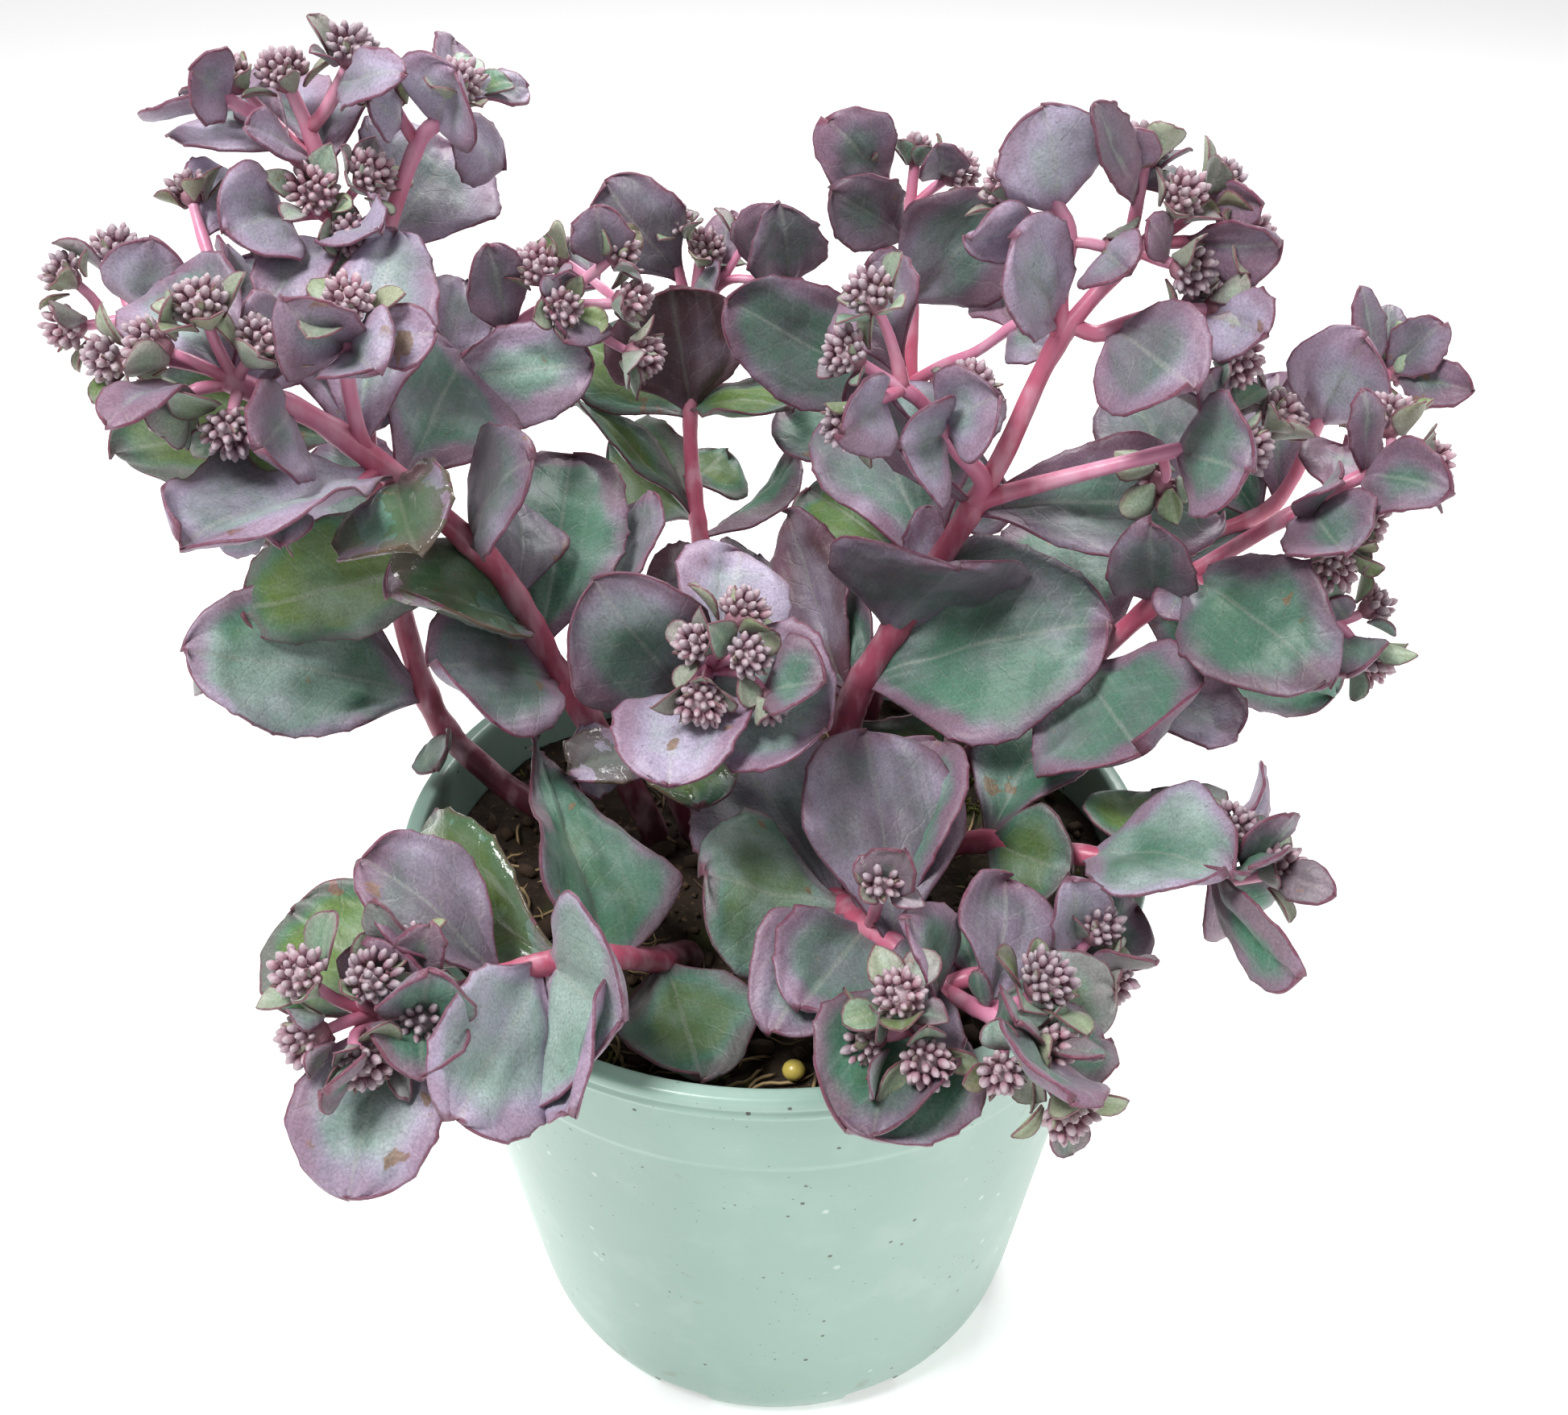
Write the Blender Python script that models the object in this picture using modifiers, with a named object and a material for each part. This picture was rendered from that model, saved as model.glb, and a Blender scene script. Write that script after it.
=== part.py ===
"""A potted sedum: a nursery pot of mint-green plastic, filled with peat, in which eleven fleshy stems stand.

Lengths in this file are in millimetres and angles in degrees, and each mesh is scaled to metres as it is
made. +Z is up, +Y is the back of the plant, and the origin is the middle of the pot's underside, level with
its feet.
"""

import math

import bmesh
import bpy
from mathutils import Matrix, Vector, noise
from mathutils.bvhtree import BVHTree

METRES = 0.001
CLEARANCE = 0.3

# Pot: an injection-moulded nursery pot with a flange, standing on a slotted ring and a middle pad
POT_HEIGHT = 133.0
RIM_RADIUS = 82.5
FLANGE_WIDTH = 4.0
LIP_HEIGHT = 3.4
WALL = 1.8
STEP_LEVEL = 107.0
STEP_RADIUS = 75.2
BASE_RADIUS = 61.5
FOOT_HEIGHT = 2.4
FOOT_RING = (49.0, 57.5)
PAD_RADIUS = 20.0
SLOT_COUNT = 8
SLOT_WIDTH = 14.0
SLOT_HEIGHT = 6.0
POT_SIDES = 36

# Soil: its level, how rough it is, the level of the stems' feet in it, and the grain of feed that lies on it
SOIL_LEVEL = 119.0
SOIL_ROUGHNESS = 1.6
SOIL_SIDES = 32
FOOT_LEVEL = 108.0
GRAIN_RADIUS = 2.2
GRAIN_PLACE = (3.6, -63.5)

# Leaves: their thickness, usual cup across and arch along, how far the edge waves and how deep it is toothed
BLADE = 1.2
CUP = 0.12
ARCH = 0.06
RIPPLE = 0.035
TOOTH = 0.05

# Roots: how deep a leaf's root lies in its cane, how far leaves and twigs keep from a cane's end, and how
# much air a leaf keeps on each side
ROOT_DEPTH = 1.6
ROOT_INSET = 1.5
TWIG_INSET = 2.5
AIR = 0.25

# Bud heads: the hollows between the buds, the gap to the twig, the shortest twig below a head, and how many
# of the largest heads are bodies of their own, where the others are one with their stem
HOLLOW = 0.75
HEAD_GAP = 0.6
SHORTEST_TWIG = 5.0
OWN_HEADS = 46

# Share of a joined stem's triangles that stays when the slivers along its seams are collapsed
SLIVER_KEEP = (0.62, 0.7, 0.8, 1)

# Each stem has canes and leaves.
# A cane: name, the cane it grows from, where on that one it starts (0 is its foot and 1 its tip) or its
# place in the soil, its further points, its foot and tip radius, and the radius of its bud head, 0 for none.
# A leaf: its cane, where on it, heading and rise of its axis, length, width, roll, and its cup if unusual.
STEMS = {
    "left": dict(
        canes=[
            (
                "main", None, (-28, 12),
                [(-41, 14, 151), (-48, 13, 166), (-54, 10, 185), (-61, 8, 199),
                 (-84, 2, 228), (-101, -6, 243)],
                3.4, 2, 0,
            ),
            (
                "up", "main", 0.8,
                [(-80, 2, 229), (-80, 0, 240), (-78, -2, 250), (-77, -3, 256)],
                1.6, 1.4, 5.6,
            ),
            (
                "side", "main", 0.78,
                [(-81, -2, 219), (-87, -6, 219), (-94, -9, 217), (-96, -10, 215)],
                1.3, 1.2, 4.5,
            ),
            ("t1", "main", 1, [(-101, -7, 250), (-104, -8, 255)], 1.2, 1, 5.6),
            ("t2", "main", 1, [(-105, -8, 247), (-109, -9, 250)], 1.2, 1, 5.6),
            ("t3", "main", 0.99, [(-106, -9, 242), (-110, -10, 242)], 1.2, 1, 5.6),
            ("t4", "main", 0.98, [(-98, -6, 244), (-96, -6, 246)], 1.2, 1, 5.6),
            ("t5", "main", 0.98, [(-99, -8, 240), (-99, -10, 239)], 1.2, 1, 5.6),
            ("t6", "main", 0.98, [(-106, 0, 242), (-115, 0, 244), (-122, -5, 246)], 1.2, 1, 5),
        ],
        leaves=[
            ("main", 0.92, -90, 5, 22, 20, -110),
            ("main", 0.85, 175, -5, 44, 26, 95),
            ("main", 0.77, -125, 5, 50, 30, -45, 0.25),
            ("main", 0.76, -70, -5, 30, 26, 5),
            ("main", 0.75, 80, 15, 38, 36, 70),
            ("main", 0.63, -45, 50, 34, 28, 35),
            ("main", 0.6, 180, -15, 54, 27, 100),
            ("main", 0.44, 85, 25, 50, 33, 25),
            ("main", 0.47, -130, 35, 42, 28, -35, 0.3),
            ("main", 0.38, -125, 30, 44, 32, -65),
            ("main", 0.32, 70, 45, 50, 22, -5),
            ("main", 0.3, -75, -5, 20, 13, -5),
            ("main", 0.52, 95, 20, 26, 20, 80),
            ("main", 1, 145, 5, 30, 24, 5),
            ("main", 0.99, 80, 15, 20, 19, 70),
            ("main", 1, -15, 80, 26, 12, 135),
            ("up", 0.9, -100, 60, 19, 17, -85, 0.25),
            ("up", 0.9, -70, 15, 15, 18, 40, 0.25),
            ("up", 0.92, -35, 40, 17, 12, 65, 0.25),
            ("main", 0.82, 85, 30, 50, 24, 15),
            ("main", 0.83, 105, 15, 34, 30, 50),
            ("side", 0.93, -115, 35, 17, 11, 165, 0.2),
            ("t3", 0.62, -115, 20, 22, 12, -90),
        ],
    ),
    "tall": dict(
        canes=[
            (
                "main", None, (-50, 15),
                [(-66, 20, 132), (-80, 26, 151), (-89, 42, 202), (-90, 53, 242),
                 (-95, 59, 266), (-100, 60, 280)],
                3.3, 1.4, 5.6,
            ),
            (
                "l1", "main", 0.89,
                [(-98, 57, 263), (-103, 56, 271), (-109, 55, 276), (-111, 55, 277)],
                1.6, 1.2, 0,
            ),
            ("l2", "main", 0.9, [(-104, 62, 271), (-110, 62, 279)], 1.3, 1, 5.6),
            ("r1", "main", 0.94, [(-91, 59, 274), (-86, 59, 282), (-85, 59, 285)], 1.5, 1.1, 5.6),
            ("m1", "main", 0.85, [(-97, 55, 253), (-103, 53, 253), (-107, 52, 255)], 1.4, 1.1, 5.6),
            ("m2", "main", 0.84, [(-95, 53, 254), (-92, 51, 257)], 1.2, 1, 5.6),
            ("m3", "main", 0.85, [(-87, 54, 258), (-85, 53, 261)], 1.2, 1, 5.6),
            ("m4", "main", 0.81, [(-90, 50, 249), (-88, 47, 251)], 1.2, 1, 5),
            (
                "b", "main", 0.76,
                [(-84, 54, 244), (-73, 58, 267), (-65, 57, 273), (-63, 56, 279)],
                2.2, 1.3, 5.6,
            ),
            ("b2", "b", 0.67, [(-76, 59, 271), (-78, 60, 276)], 1.3, 1, 4.5),
            (
                "s14", "main", 0.64,
                [(-95, 40, 225), (-112, 32, 240), (-137, 24, 241), (-139, 23, 243)],
                2.2, 1, 5,
            ),
            ("s15", "s14", 0.89, [(-135, 27, 245), (-138, 27, 249)], 1.1, 1, 4.5),
            ("s16", "s14", 0.81, [(-130, 30, 246), (-132, 32, 252)], 1.2, 1, 5.6),
            ("s17", "s14", 0.54, [(-116, 44, 246), (-119, 50, 252), (-121, 54, 258)], 1.4, 1.1, 4.5),
            (
                "s3", "main", 0.62,
                [(-81, 46, 214), (-54, 52, 230), (-47, 52, 233), (-31, 52, 235)],
                2.4, 1.2, 5.6,
            ),
            ("c1", "s3", 0.7, [(-48, 50, 238), (-49, 49, 240)], 1.2, 1, 5.6),
            ("c2", "s3", 0.78, [(-43, 52, 237), (-37, 52, 242), (-32, 52, 244)], 1.3, 1, 5),
            ("c3", "s3", 0.78, [(-38, 49, 229), (-33, 48, 226), (-29, 48, 225)], 1.2, 1, 5.6),
            ("c4", "s3", 0.74, [(-46, 49, 234), (-46, 47, 236)], 1, 0.9, 4.5),
        ],
        leaves=[
            ("main", 0.3, -140, 40, 56, 35, -70),
            ("main", 0.3, 170, -5, 56, 18, -5),
            ("main", 0.25, -85, 0, 16, 12, 25),
            ("main", 0.47, 125, 35, 30, 24, -25),
            ("l1", 0.99, -105, 35, 17, 15, -155),
            ("l1", 0.39, 140, 5, 34, 26, -25),
            ("l1", 0.88, 145, 10, 22, 10, 35),
            ("main", 0.93, 120, 5, 26, 22, -10),
            ("l2", 0.34, -120, 30, 22, 10, -90),
            ("r1", 0.54, -30, 35, 28, 12, 80),
            ("main", 0.9, 90, 20, 24, 20, 30),
            ("m1", 0.83, -110, 10, 22, 22, -85, 0.2),
            ("m4", 0.42, -45, 15, 20, 16, -5, 0.2),
            ("m4", 0.42, -110, 0, 24, 16, 5),
            ("b", 0.22, 75, 25, 36, 34, 20),
            ("b", 0.78, -50, 45, 20, 22, -175),
            ("b", 0.8, 90, 30, 22, 12, 10),
            ("b", 0.85, 55, -35, 22, 14, -135),
            ("b", 0.95, 50, -10, 18, 10, 25),
            ("b2", 0.39, -115, 30, 20, 17, -110),
            ("s14", 0.23, 130, 20, 36, 30, 20),
            ("s14", 0.76, -55, 60, 22, 16, 95),
            ("s14", 0.54, 115, 25, 22, 14, 80),
            ("s17", 0.7, 85, 20, 22, 18, 55),
            ("s3", 0.29, 75, 35, 26, 17, -5),
            ("s3", 0.31, -20, 20, 34, 22, 60),
            ("s3", 0.31, 50, -25, 30, 24, 25),
            ("s3", 0.62, -75, 40, 24, 14, -70),
            ("c2", 0.74, -90, 70, 15, 13, -105),
        ],
    ),
    "middle": dict(
        canes=[
            (
                "main", None, (-8, 42),
                [(-11, 62, 141), (-17, 80, 149), (-21, 98, 176), (-20, 106, 199),
                 (-18, 110, 221), (-16, 110, 225)],
                2.9, 1.4, 5.6,
            ),
            ("a1", "main", 0.87, [(-23, 108, 220), (-23, 108, 228), (-23, 108, 232)], 1.4, 1, 4.5),
            ("a2", "a1", 0.58, [(-26, 112, 226), (-29, 114, 233)], 1.2, 1, 4.5),
            ("a3", "main", 0.88, [(-11, 109, 220), (-5, 109, 228)], 1.3, 1, 5.6),
            ("a4", "main", 0.9, [(-11, 108, 218), (-4, 106, 219), (0, 104, 223)], 1.3, 1, 5),
            ("a5", "main", 0.81, [(-33, 116, 204), (-45, 122, 212), (-55, 126, 218)], 1.5, 1, 5.6),
        ],
        leaves=[
            ("main", 0.73, -130, 80, 36, 34, -150),
            ("main", 0.72, 145, 15, 42, 30, -40),
            ("main", 0.54, 140, 20, 34, 30, 100),
            ("main", 0.54, 160, 45, 42, 14, -25),
            ("main", 0.73, -30, 10, 30, 24, 20),
            ("main", 0.5, 45, 15, 36, 20, 175),
            ("main", 0.4, -125, 30, 28, 22, -95),
            ("main", 0.34, 70, 10, 26, 22, 90),
            ("main", 0.6, 70, -5, 24, 22, -135),
            ("a1", 0.48, -160, 55, 30, 24, -105),
            ("a3", 0.51, 90, 50, 22, 10, -20),
            ("a4", 0.84, -75, 65, 24, 19, -115),
            ("main", 0.95, -65, 5, 17, 19, 60),
            ("a5", 0.73, 110, 15, 18, 16, 15),
            ("a5", 0.84, 150, 0, 20, 14, -40),
        ],
    ),
    "right": dict(
        canes=[
            (
                "main", None, (15, 20),
                [(18, 25, 148), (32, 26, 177), (47, 24, 209), (59, 28, 237), (79, 34, 259), (80, 34, 264)],
                3.9, 1.4, 5.6,
            ),
            ("f1", "main", 0.56, [(44, 22, 207), (38, 20, 215), (34, 18, 222)], 2.2, 1.6, 0),
            ("f2", "f1", 1, [(29, 17, 228), (21, 15, 234), (15, 14, 239)], 1.7, 1.1, 5.6),
            ("f5", "f1", 0.9, [(37, 20, 222), (39, 20, 227)], 1.4, 1.1, 5.6),
            ("f3", "f2", 0.5, [(23, 17, 241), (19, 17, 249)], 1.4, 1, 5.6),
            ("f4", "f2", 0.5, [(20, 11, 230), (15, 8, 227)], 1.3, 1, 5.6),
            (
                "r1", "main", 0.56,
                [(49, 22, 204), (82, 14, 218), (88, 14, 219), (95, 13, 219)],
                2.1, 1.2, 5.6,
            ),
            ("r2", "r1", 0.71, [(81, 16, 211), (80, 18, 209)], 1.2, 1, 5),
            ("r3", "r1", 0.75, [(92, 20, 214), (100, 22, 217), (104, 22, 221)], 1.2, 1, 5.6),
            ("r4", "r1", 0.85, [(90, 18, 220), (92, 22, 225)], 1.2, 1, 5.6),
            ("u", "main", 0.79, [(58, 30, 244), (59, 32, 256), (56, 32, 262), (54, 33, 265)], 2, 1.3, 0),
            ("u1", "u", 0.74, [(52, 32, 259), (48, 33, 262), (46, 34, 265)], 1.3, 1, 5.6),
            ("u2", "u", 0.61, [(62, 31, 255), (65, 31, 254)], 1.2, 1, 4),
            ("u3", "u", 0.92, [(57, 36, 267), (60, 38, 272)], 1.1, 1, 4.5),
            (
                "g1", "main", 0.81,
                [(66, 28, 237), (72, 27, 240), (79, 27, 242), (91, 27, 241)],
                1.8, 1.2, 6.2,
            ),
            ("g2", "main", 0.92, [(82, 27, 251)], 1.3, 1.1, 5.6),
            ("g3", "main", 0.9, [(72, 34, 259), (73, 36, 266), (75, 38, 270)], 1.4, 1, 5.6),
            ("g4", "main", 0.91, [(85, 39, 258), (90, 40, 263)], 1.3, 1, 5.6),
            ("g5", "main", 0.93, [(87, 37, 253), (93, 35, 252), (95, 34, 255)], 1.3, 1, 5.6),
            ("g6", "g1", 0.7, [(86, 23, 237), (92, 20, 236)], 1.2, 1, 5.6),
        ],
        leaves=[
            ("main", 0.28, -15, 25, 56, 46, 50),
            ("main", 0.36, -57, 52, 36, 44, 3, 0.2),
            ("main", 0.46, 115, 25, 50, 38, -35),
            ("main", 0.4, 60, 70, 22, 9, -30),
            ("main", 0.56, -170, 55, 42, 16, -130),
            ("main", 0.56, 7, -12, 56, 30, 30, 0.3),
            ("main", 0.23, 105, 35, 48, 22, -60),
            ("main", 0.25, 95, 20, 30, 22, -25),
            ("main", 0.2, 25, -35, 30, 20, 75),
            ("f1", 0.9, -125, 15, 17, 22, -60, 0.3),
            ("f1", 0.9, -60, 55, 18, 20, 85, 0.3),
            ("f3", 0.21, 95, 20, 28, 22, -30),
            ("f4", 0.87, -125, -5, 20, 16, -110, 0.2),
            ("r1", 0.77, -70, 15, 26, 25, 125),
            ("r4", 0.29, -135, 60, 20, 12, -95),
            ("u", 0.86, -125, 65, 24, 21, 160, 0.05),
            ("u", 0.1, -145, 50, 28, 24, -85),
            ("u1", 0.5, -140, 35, 18, 13, -135),
            ("u2", 0.81, -80, 0, 15, 15, 130),
            ("g1", 0.29, -70, 0, 31, 25, 80),
            ("g1", 0.91, -60, 0, 18, 16, 110),
            ("g1", 0.91, 30, 0, 18, 14, 0),
            ("g2", 0.57, -145, 55, 18, 15, -30),
            ("g3", 0.52, -140, 50, 30, 10, -90),
            ("g3", 0.84, 45, 10, 15, 12, 50),
            ("g4", 0.83, -65, 30, 15, 12, 115),
            ("g5", 0.4, -45, 0, 20, 15, 150),
        ],
    ),
    "back": dict(
        canes=[
            (
                "main", None, (22, 48),
                [(29, 55, 154), (32, 75, 170), (33, 88, 190), (34, 97, 213),
                 (32, 100, 225), (33, 107, 249)],
                3, 1.3, 4.5,
            ),
            ("l1", "main", 0.92, [(29, 106, 240), (26, 107, 248)], 1.3, 1, 4.5),
            ("r1", "main", 0.92, [(38, 104, 242), (43, 104, 246)], 1.3, 1, 5.6),
            ("s", "main", 0.66, [(41, 84, 206), (48, 80, 211), (55, 77, 218), (57, 76, 220)], 1.7, 1.2, 0),
            ("s2", "main", 0.68, [(20, 90, 208), (9, 92, 218), (3, 94, 224)], 1.7, 1.2, 0),
        ],
        leaves=[
            ("main", 0.79, -35, 50, 38, 30, 105),
            ("main", 0.56, 145, 5, 36, 28, -55),
            ("main", 0.4, 130, 5, 32, 24, -70),
            ("main", 0.63, -165, 35, 56, 28, -90),
            ("l1", 0.6, -145, 45, 24, 20, -125),
            ("main", 0.88, -150, 35, 26, 18, -100),
            ("s", 0.94, 90, 15, 20, 18, -40),
            ("s", 0.92, -65, 0, 16, 14, 75),
            ("s2", 0.97, -100, 65, 24, 19, 155),
            ("main", 0.57, 40, 10, 32, 22, 65),
            ("main", 0.46, 40, 0, 34, 26, 55),
        ],
    ),
    "far": dict(
        canes=[
            (
                "main", None, (34, 18),
                [(53, 22, 144), (62, 20, 153), (81, 16, 179), (94, 14, 193),
                 (119, 14, 211), (124, 14, 212)],
                3.3, 1.3, 0,
            ),
            ("t1", "main", 1, [(128, 13, 216), (129, 13, 216)], 1.2, 1, 5.6),
            ("t2", "main", 0.99, [(126, 16, 216), (126, 17, 219)], 1.2, 1, 5.6),
            ("t3", "main", 0.9, [(115, 10, 206), (118, 8, 204)], 1.3, 1, 5.6),
            ("t4", "main", 0.86, [(112, 6, 203), (114, 1, 200)], 1.2, 1, 5.6),
            (
                "low", "main", 0.7,
                [(92, 10, 187), (104, 6, 186), (116, 3, 184), (125, 0, 176)],
                1.8, 1.1, 5.6,
            ),
            ("low2", "low", 0.71, [(121, 4, 184), (125, 5, 186)], 1.2, 1, 4.5),
        ],
        leaves=[
            ("main", 0.47, -80, 5, 42, 40, 60),
            ("main", 0.48, -55, 5, 38, 22, 0),
            ("main", 0.48, 90, 15, 46, 38, -30),
            ("main", 0.61, 5, -25, 48, 26, 90),
            ("main", 0.63, -120, 65, 26, 18, -155),
            ("main", 0.7, -65, 0, 42, 30, 45, 0.25),
            ("main", 0.89, -75, -10, 26, 20, 85),
            ("main", 0.99, -65, 20, 24, 16, 100),
            ("main", 0.98, -155, 70, 22, 8, -75),
            ("main", 0.93, 70, 5, 18, 18, -35),
            ("t4", 0.7, -70, 15, 16, 13, 175),
        ],
    ),
    "rear": dict(
        canes=[
            (
                "main", None, (40, 42),
                [(65, 55, 145), (94, 62, 166), (116, 62, 177), (122, 60, 188),
                 (128, 62, 206), (145, 70, 211)],
                2.8, 1.3, 5.6,
            ),
        ],
        leaves=[
            ("main", 0.85, -75, 65, 28, 27, 160),
            ("main", 0.84, -175, 70, 18, 15, -115),
            ("main", 0.95, 160, 75, 22, 9, -100),
            ("main", 0.97, 75, 40, 18, 10, -95),
            ("main", 0.98, -35, 55, 18, 13, 170),
            ("main", 0.99, -55, 5, 20, 11, 95),
            ("main", 0.6, 110, 25, 46, 30, -65),
            ("main", 0.68, 110, 20, 34, 26, -70),
            ("main", 0.72, 85, 40, 34, 20, -35),
            ("main", 0.48, 35, 25, 36, 30, 20),
        ],
    ),
    "centre": dict(
        canes=[
            (
                "main", None, (-20, 14),
                [(-26, 12, 143), (-22, 4, 156), (-17, -6, 172), (-12, -14, 185)],
                2.8, 1.5, 0,
            ),
            ("h1", "main", 1, [(-14, -20, 186), (-14, -26, 186)], 1.4, 1.1, 5.6),
            ("h2", "main", 1, [(-12, -19, 190), (-12, -21, 192)], 1.2, 1, 4.5),
            ("h3", "main", 1, [(-9, -19, 189), (-6, -22, 191)], 1.2, 1, 5),
            ("h4", "main", 1, [(-6, -21, 187), (-2, -24, 186)], 1.4, 1.1, 4.5),
            ("h5", "main", 1, [(-10, -16, 191), (-8, -16, 195)], 1.4, 1.1, 5.6),
        ],
        leaves=[
            ("main", 0.93, 75, 25, 32, 26, 20),
            ("main", 0.79, -150, 60, 38, 31, -40),
            ("main", 0.96, -45, 10, 32, 32, 35),
            ("main", 0.89, -90, 5, 30, 28, 10),
            ("main", 0.46, -130, 15, 30, 17, -5),
            ("main", 0.5, -70, 0, 26, 22, 25),
            ("h4", 0.88, -35, 30, 15, 18, -115, 0.25),
        ],
    ),
    "front_left": dict(
        canes=[
            (
                "main", None, (-18, -30),
                [(-24, -42, 131), (-30, -52, 141), (-39, -59, 147), (-50, -66, 150),
                 (-68, -77, 151), (-73, -80, 154)],
                3.2, 1.5, 0,
            ),
            ("h1", "main", 0.94, [(-65, -80, 152), (-62, -84, 156)], 1.5, 1.2, 5.6),
            ("h2", "main", 1, [(-73, -82, 159), (-73, -84, 162)], 1.3, 1, 5.6),
            ("h3", "main", 1, [(-75, -84, 156), (-76, -87, 158)], 1.3, 1, 5.6),
            ("h4", "main", 1, [(-74, -86, 154), (-75, -90, 155)], 1.2, 1, 5),
            ("h5", "main", 1, [(-77, -82, 159), (-80, -84, 164)], 1.3, 1, 5.6),
            ("h6", "main", 0.89, [(-64, -74, 159), (-66, -74, 165)], 1.2, 1, 4),
        ],
        leaves=[
            ("main", 0.63, -50, 45, 32, 46, -7, 0.25),
            ("main", 0.5, 113, 9, 56, 34, 74, 0.2),
            ("main", 0.74, -146, 50, 38, 28, 104),
            ("main", 0.5, -93, -5, 38, 28, 19),
            ("main", 0.66, -102, -4, 42, 34, -72),
            ("main", 0.62, 137, -1, 48, 30, 4),
            ("main", 0.92, -92, -15, 34, 27, -49),
            ("main", 0.91, 145, 15, 30, 30, 45),
            ("main", 0.9, 170, 50, 24, 22, 10),
            ("main", 0.96, 75, 75, 16, 15, 70),
            ("main", 0.28, -75, -5, 36, 32, -25),
            ("main", 0.68, -115, 10, 30, 26, -80),
            ("main", 0.96, -80, -5, 20, 6, -20),
            ("h6", 0.7, -135, 70, 16, 8, -135),
        ],
    ),
    "front_right": dict(
        canes=[
            (
                "main", None, (10, -12),
                [(15, -30, 134), (19, -40, 138), (27, -50, 138), (34, -58, 136)],
                3.2, 2.2, 0,
            ),
            ("s", "main", 0.67, [(20, -48, 151), (20, -56, 163)], 1.4, 1.1, 4),
            (
                "l", "main", 1,
                [(30, -67, 139), (27, -71, 142), (23, -74, 142), (19, -76, 143)],
                1.8, 1.2, 5.6,
            ),
            ("l2", "l", 0.6, [(26, -76, 142), (26, -81, 143)], 1.3, 1, 5.6),
            ("l3", "l", 0.57, [(24, -73, 146), (22, -75, 151)], 1.3, 1, 5.6),
            (
                "d", "main", 1,
                [(38, -64, 139), (42, -70, 141), (45, -76, 141), (49, -80, 142)],
                1.8, 1.2, 5.6,
            ),
            ("d2", "d", 0.6, [(42, -78, 142), (42, -84, 143)], 1.2, 1, 5),
            ("d3", "d", 0.75, [(49, -82, 139), (52, -88, 138)], 1.2, 1, 5.6),
            ("e", "d", 0.4, [(46, -68, 144), (50, -69, 149)], 1.5, 1.2, 6.2),
            (
                "q", "main", 0.98,
                [(38, -56, 139), (48, -52, 137), (57, -50, 137), (64, -50, 144)],
                1.8, 1.2, 5.6,
            ),
            ("q2", "q", 0.73, [(61, -52, 137), (66, -54, 138)], 1.3, 1, 4.5),
        ],
        leaves=[
            ("main", 0.67, 87, 29, 42, 33, -46),
            ("main", 0.78, 78, 36, 44, 34, -63),
            ("main", 0.5, -169, 26, 32, 39, -159),
            ("d", 0.72, -69, 8, 30, 23, 40),
            ("main", 0.9, -106, -7, 42, 26, 78),
            ("main", 0.67, -115, 5, 28, 26, 30),
            ("main", 0.6, -120, -5, 34, 26, 15),
            ("main", 0.39, 120, 15, 44, 38, -5),
            ("l", 0.15, -140, 10, 34, 34, -10),
            ("l", 0.19, 180, 50, 22, 20, 40),
            ("d", 0.68, -85, 0, 20, 12, 50),
            ("d", 0.94, 35, -15, 16, 16, -5),
            ("e", 0.12, 80, 20, 28, 21, -20),
            ("e", 0.12, 15, 5, 28, 22, 30),
            ("q", 0.2, 100, 5, 16, 17, -85),
            ("q", 0.76, -175, 85, 21, 15, -85),
            ("q", 0.82, 35, -15, 20, 20, 25),
            ("q2", 0.45, -40, 25, 17, 9, 95),
        ],
    ),
    "front_side": dict(
        canes=[
            (
                "main", None, (30, -6),
                [(33, -10, 132), (46, -14, 139), (64, -26, 145), (87, -34, 147),
                 (93, -38, 149), (99, -40, 154)],
                3, 1.4, 5.6,
            ),
            ("h1", "main", 0.84, [(90, -34, 152), (93, -34, 157)], 1.2, 1, 5.6),
        ],
        leaves=[
            ("main", 0.39, 57, 22, 34, 26, -57),
            ("main", 0.39, -50, 15, 24, 24, 85),
            ("main", 0.62, -55, 21, 36, 32, 112),
            ("main", 0.81, 95, 0, 26, 30, -70),
            ("main", 0.84, -20, 70, 30, 16, -165),
            ("main", 0.86, -70, 0, 32, 18, 140),
            ("main", 0.92, -70, 10, 18, 19, 80),
            ("main", 0.86, 15, -50, 20, 20, 50),
            ("main", 0.98, -50, 45, 18, 15, 125),
            ("main", 0.99, -60, 20, 16, 9, 85),
        ],
    ),
}


def smooth_path(points, spacing=1.0):
    """Points about one spacing apart on a smooth curve through the given points."""
    knots = [Vector(point) for point in points]
    knots = [2 * knots[0] - knots[1], *knots, 2 * knots[-1] - knots[-2]]
    path = []
    for a, b, c, d in zip(knots, knots[1:], knots[2:], knots[3:]):
        steps = max(1, round((c - b).length / spacing))
        for k in range(steps):
            t = k / steps
            square = (2 * a - 5 * b + 4 * c - d) * t**2
            cube = (3 * b - a - 3 * c + d) * t**3
            path.append(0.5 * (2 * b + (c - a) * t + square + cube))
    path.append(knots[-2])
    return path


def path_lengths(path):
    """The distance along a path from its start to each of its points."""
    lengths = [0.0]
    for a, b in zip(path, path[1:]):
        lengths.append(lengths[-1] + (b - a).length)
    return lengths


def place_on(path, along):
    """The point at this distance along a path, and the path's direction there."""
    lengths = path_lengths(path)
    k = 1
    while k < len(path) - 1 and lengths[k] < along:
        k += 1
    step = path[k] - path[k - 1]
    share = (along - lengths[k - 1]) / (lengths[k] - lengths[k - 1])
    return path[k - 1] + step * min(share, 1.0), step.normalized()


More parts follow.
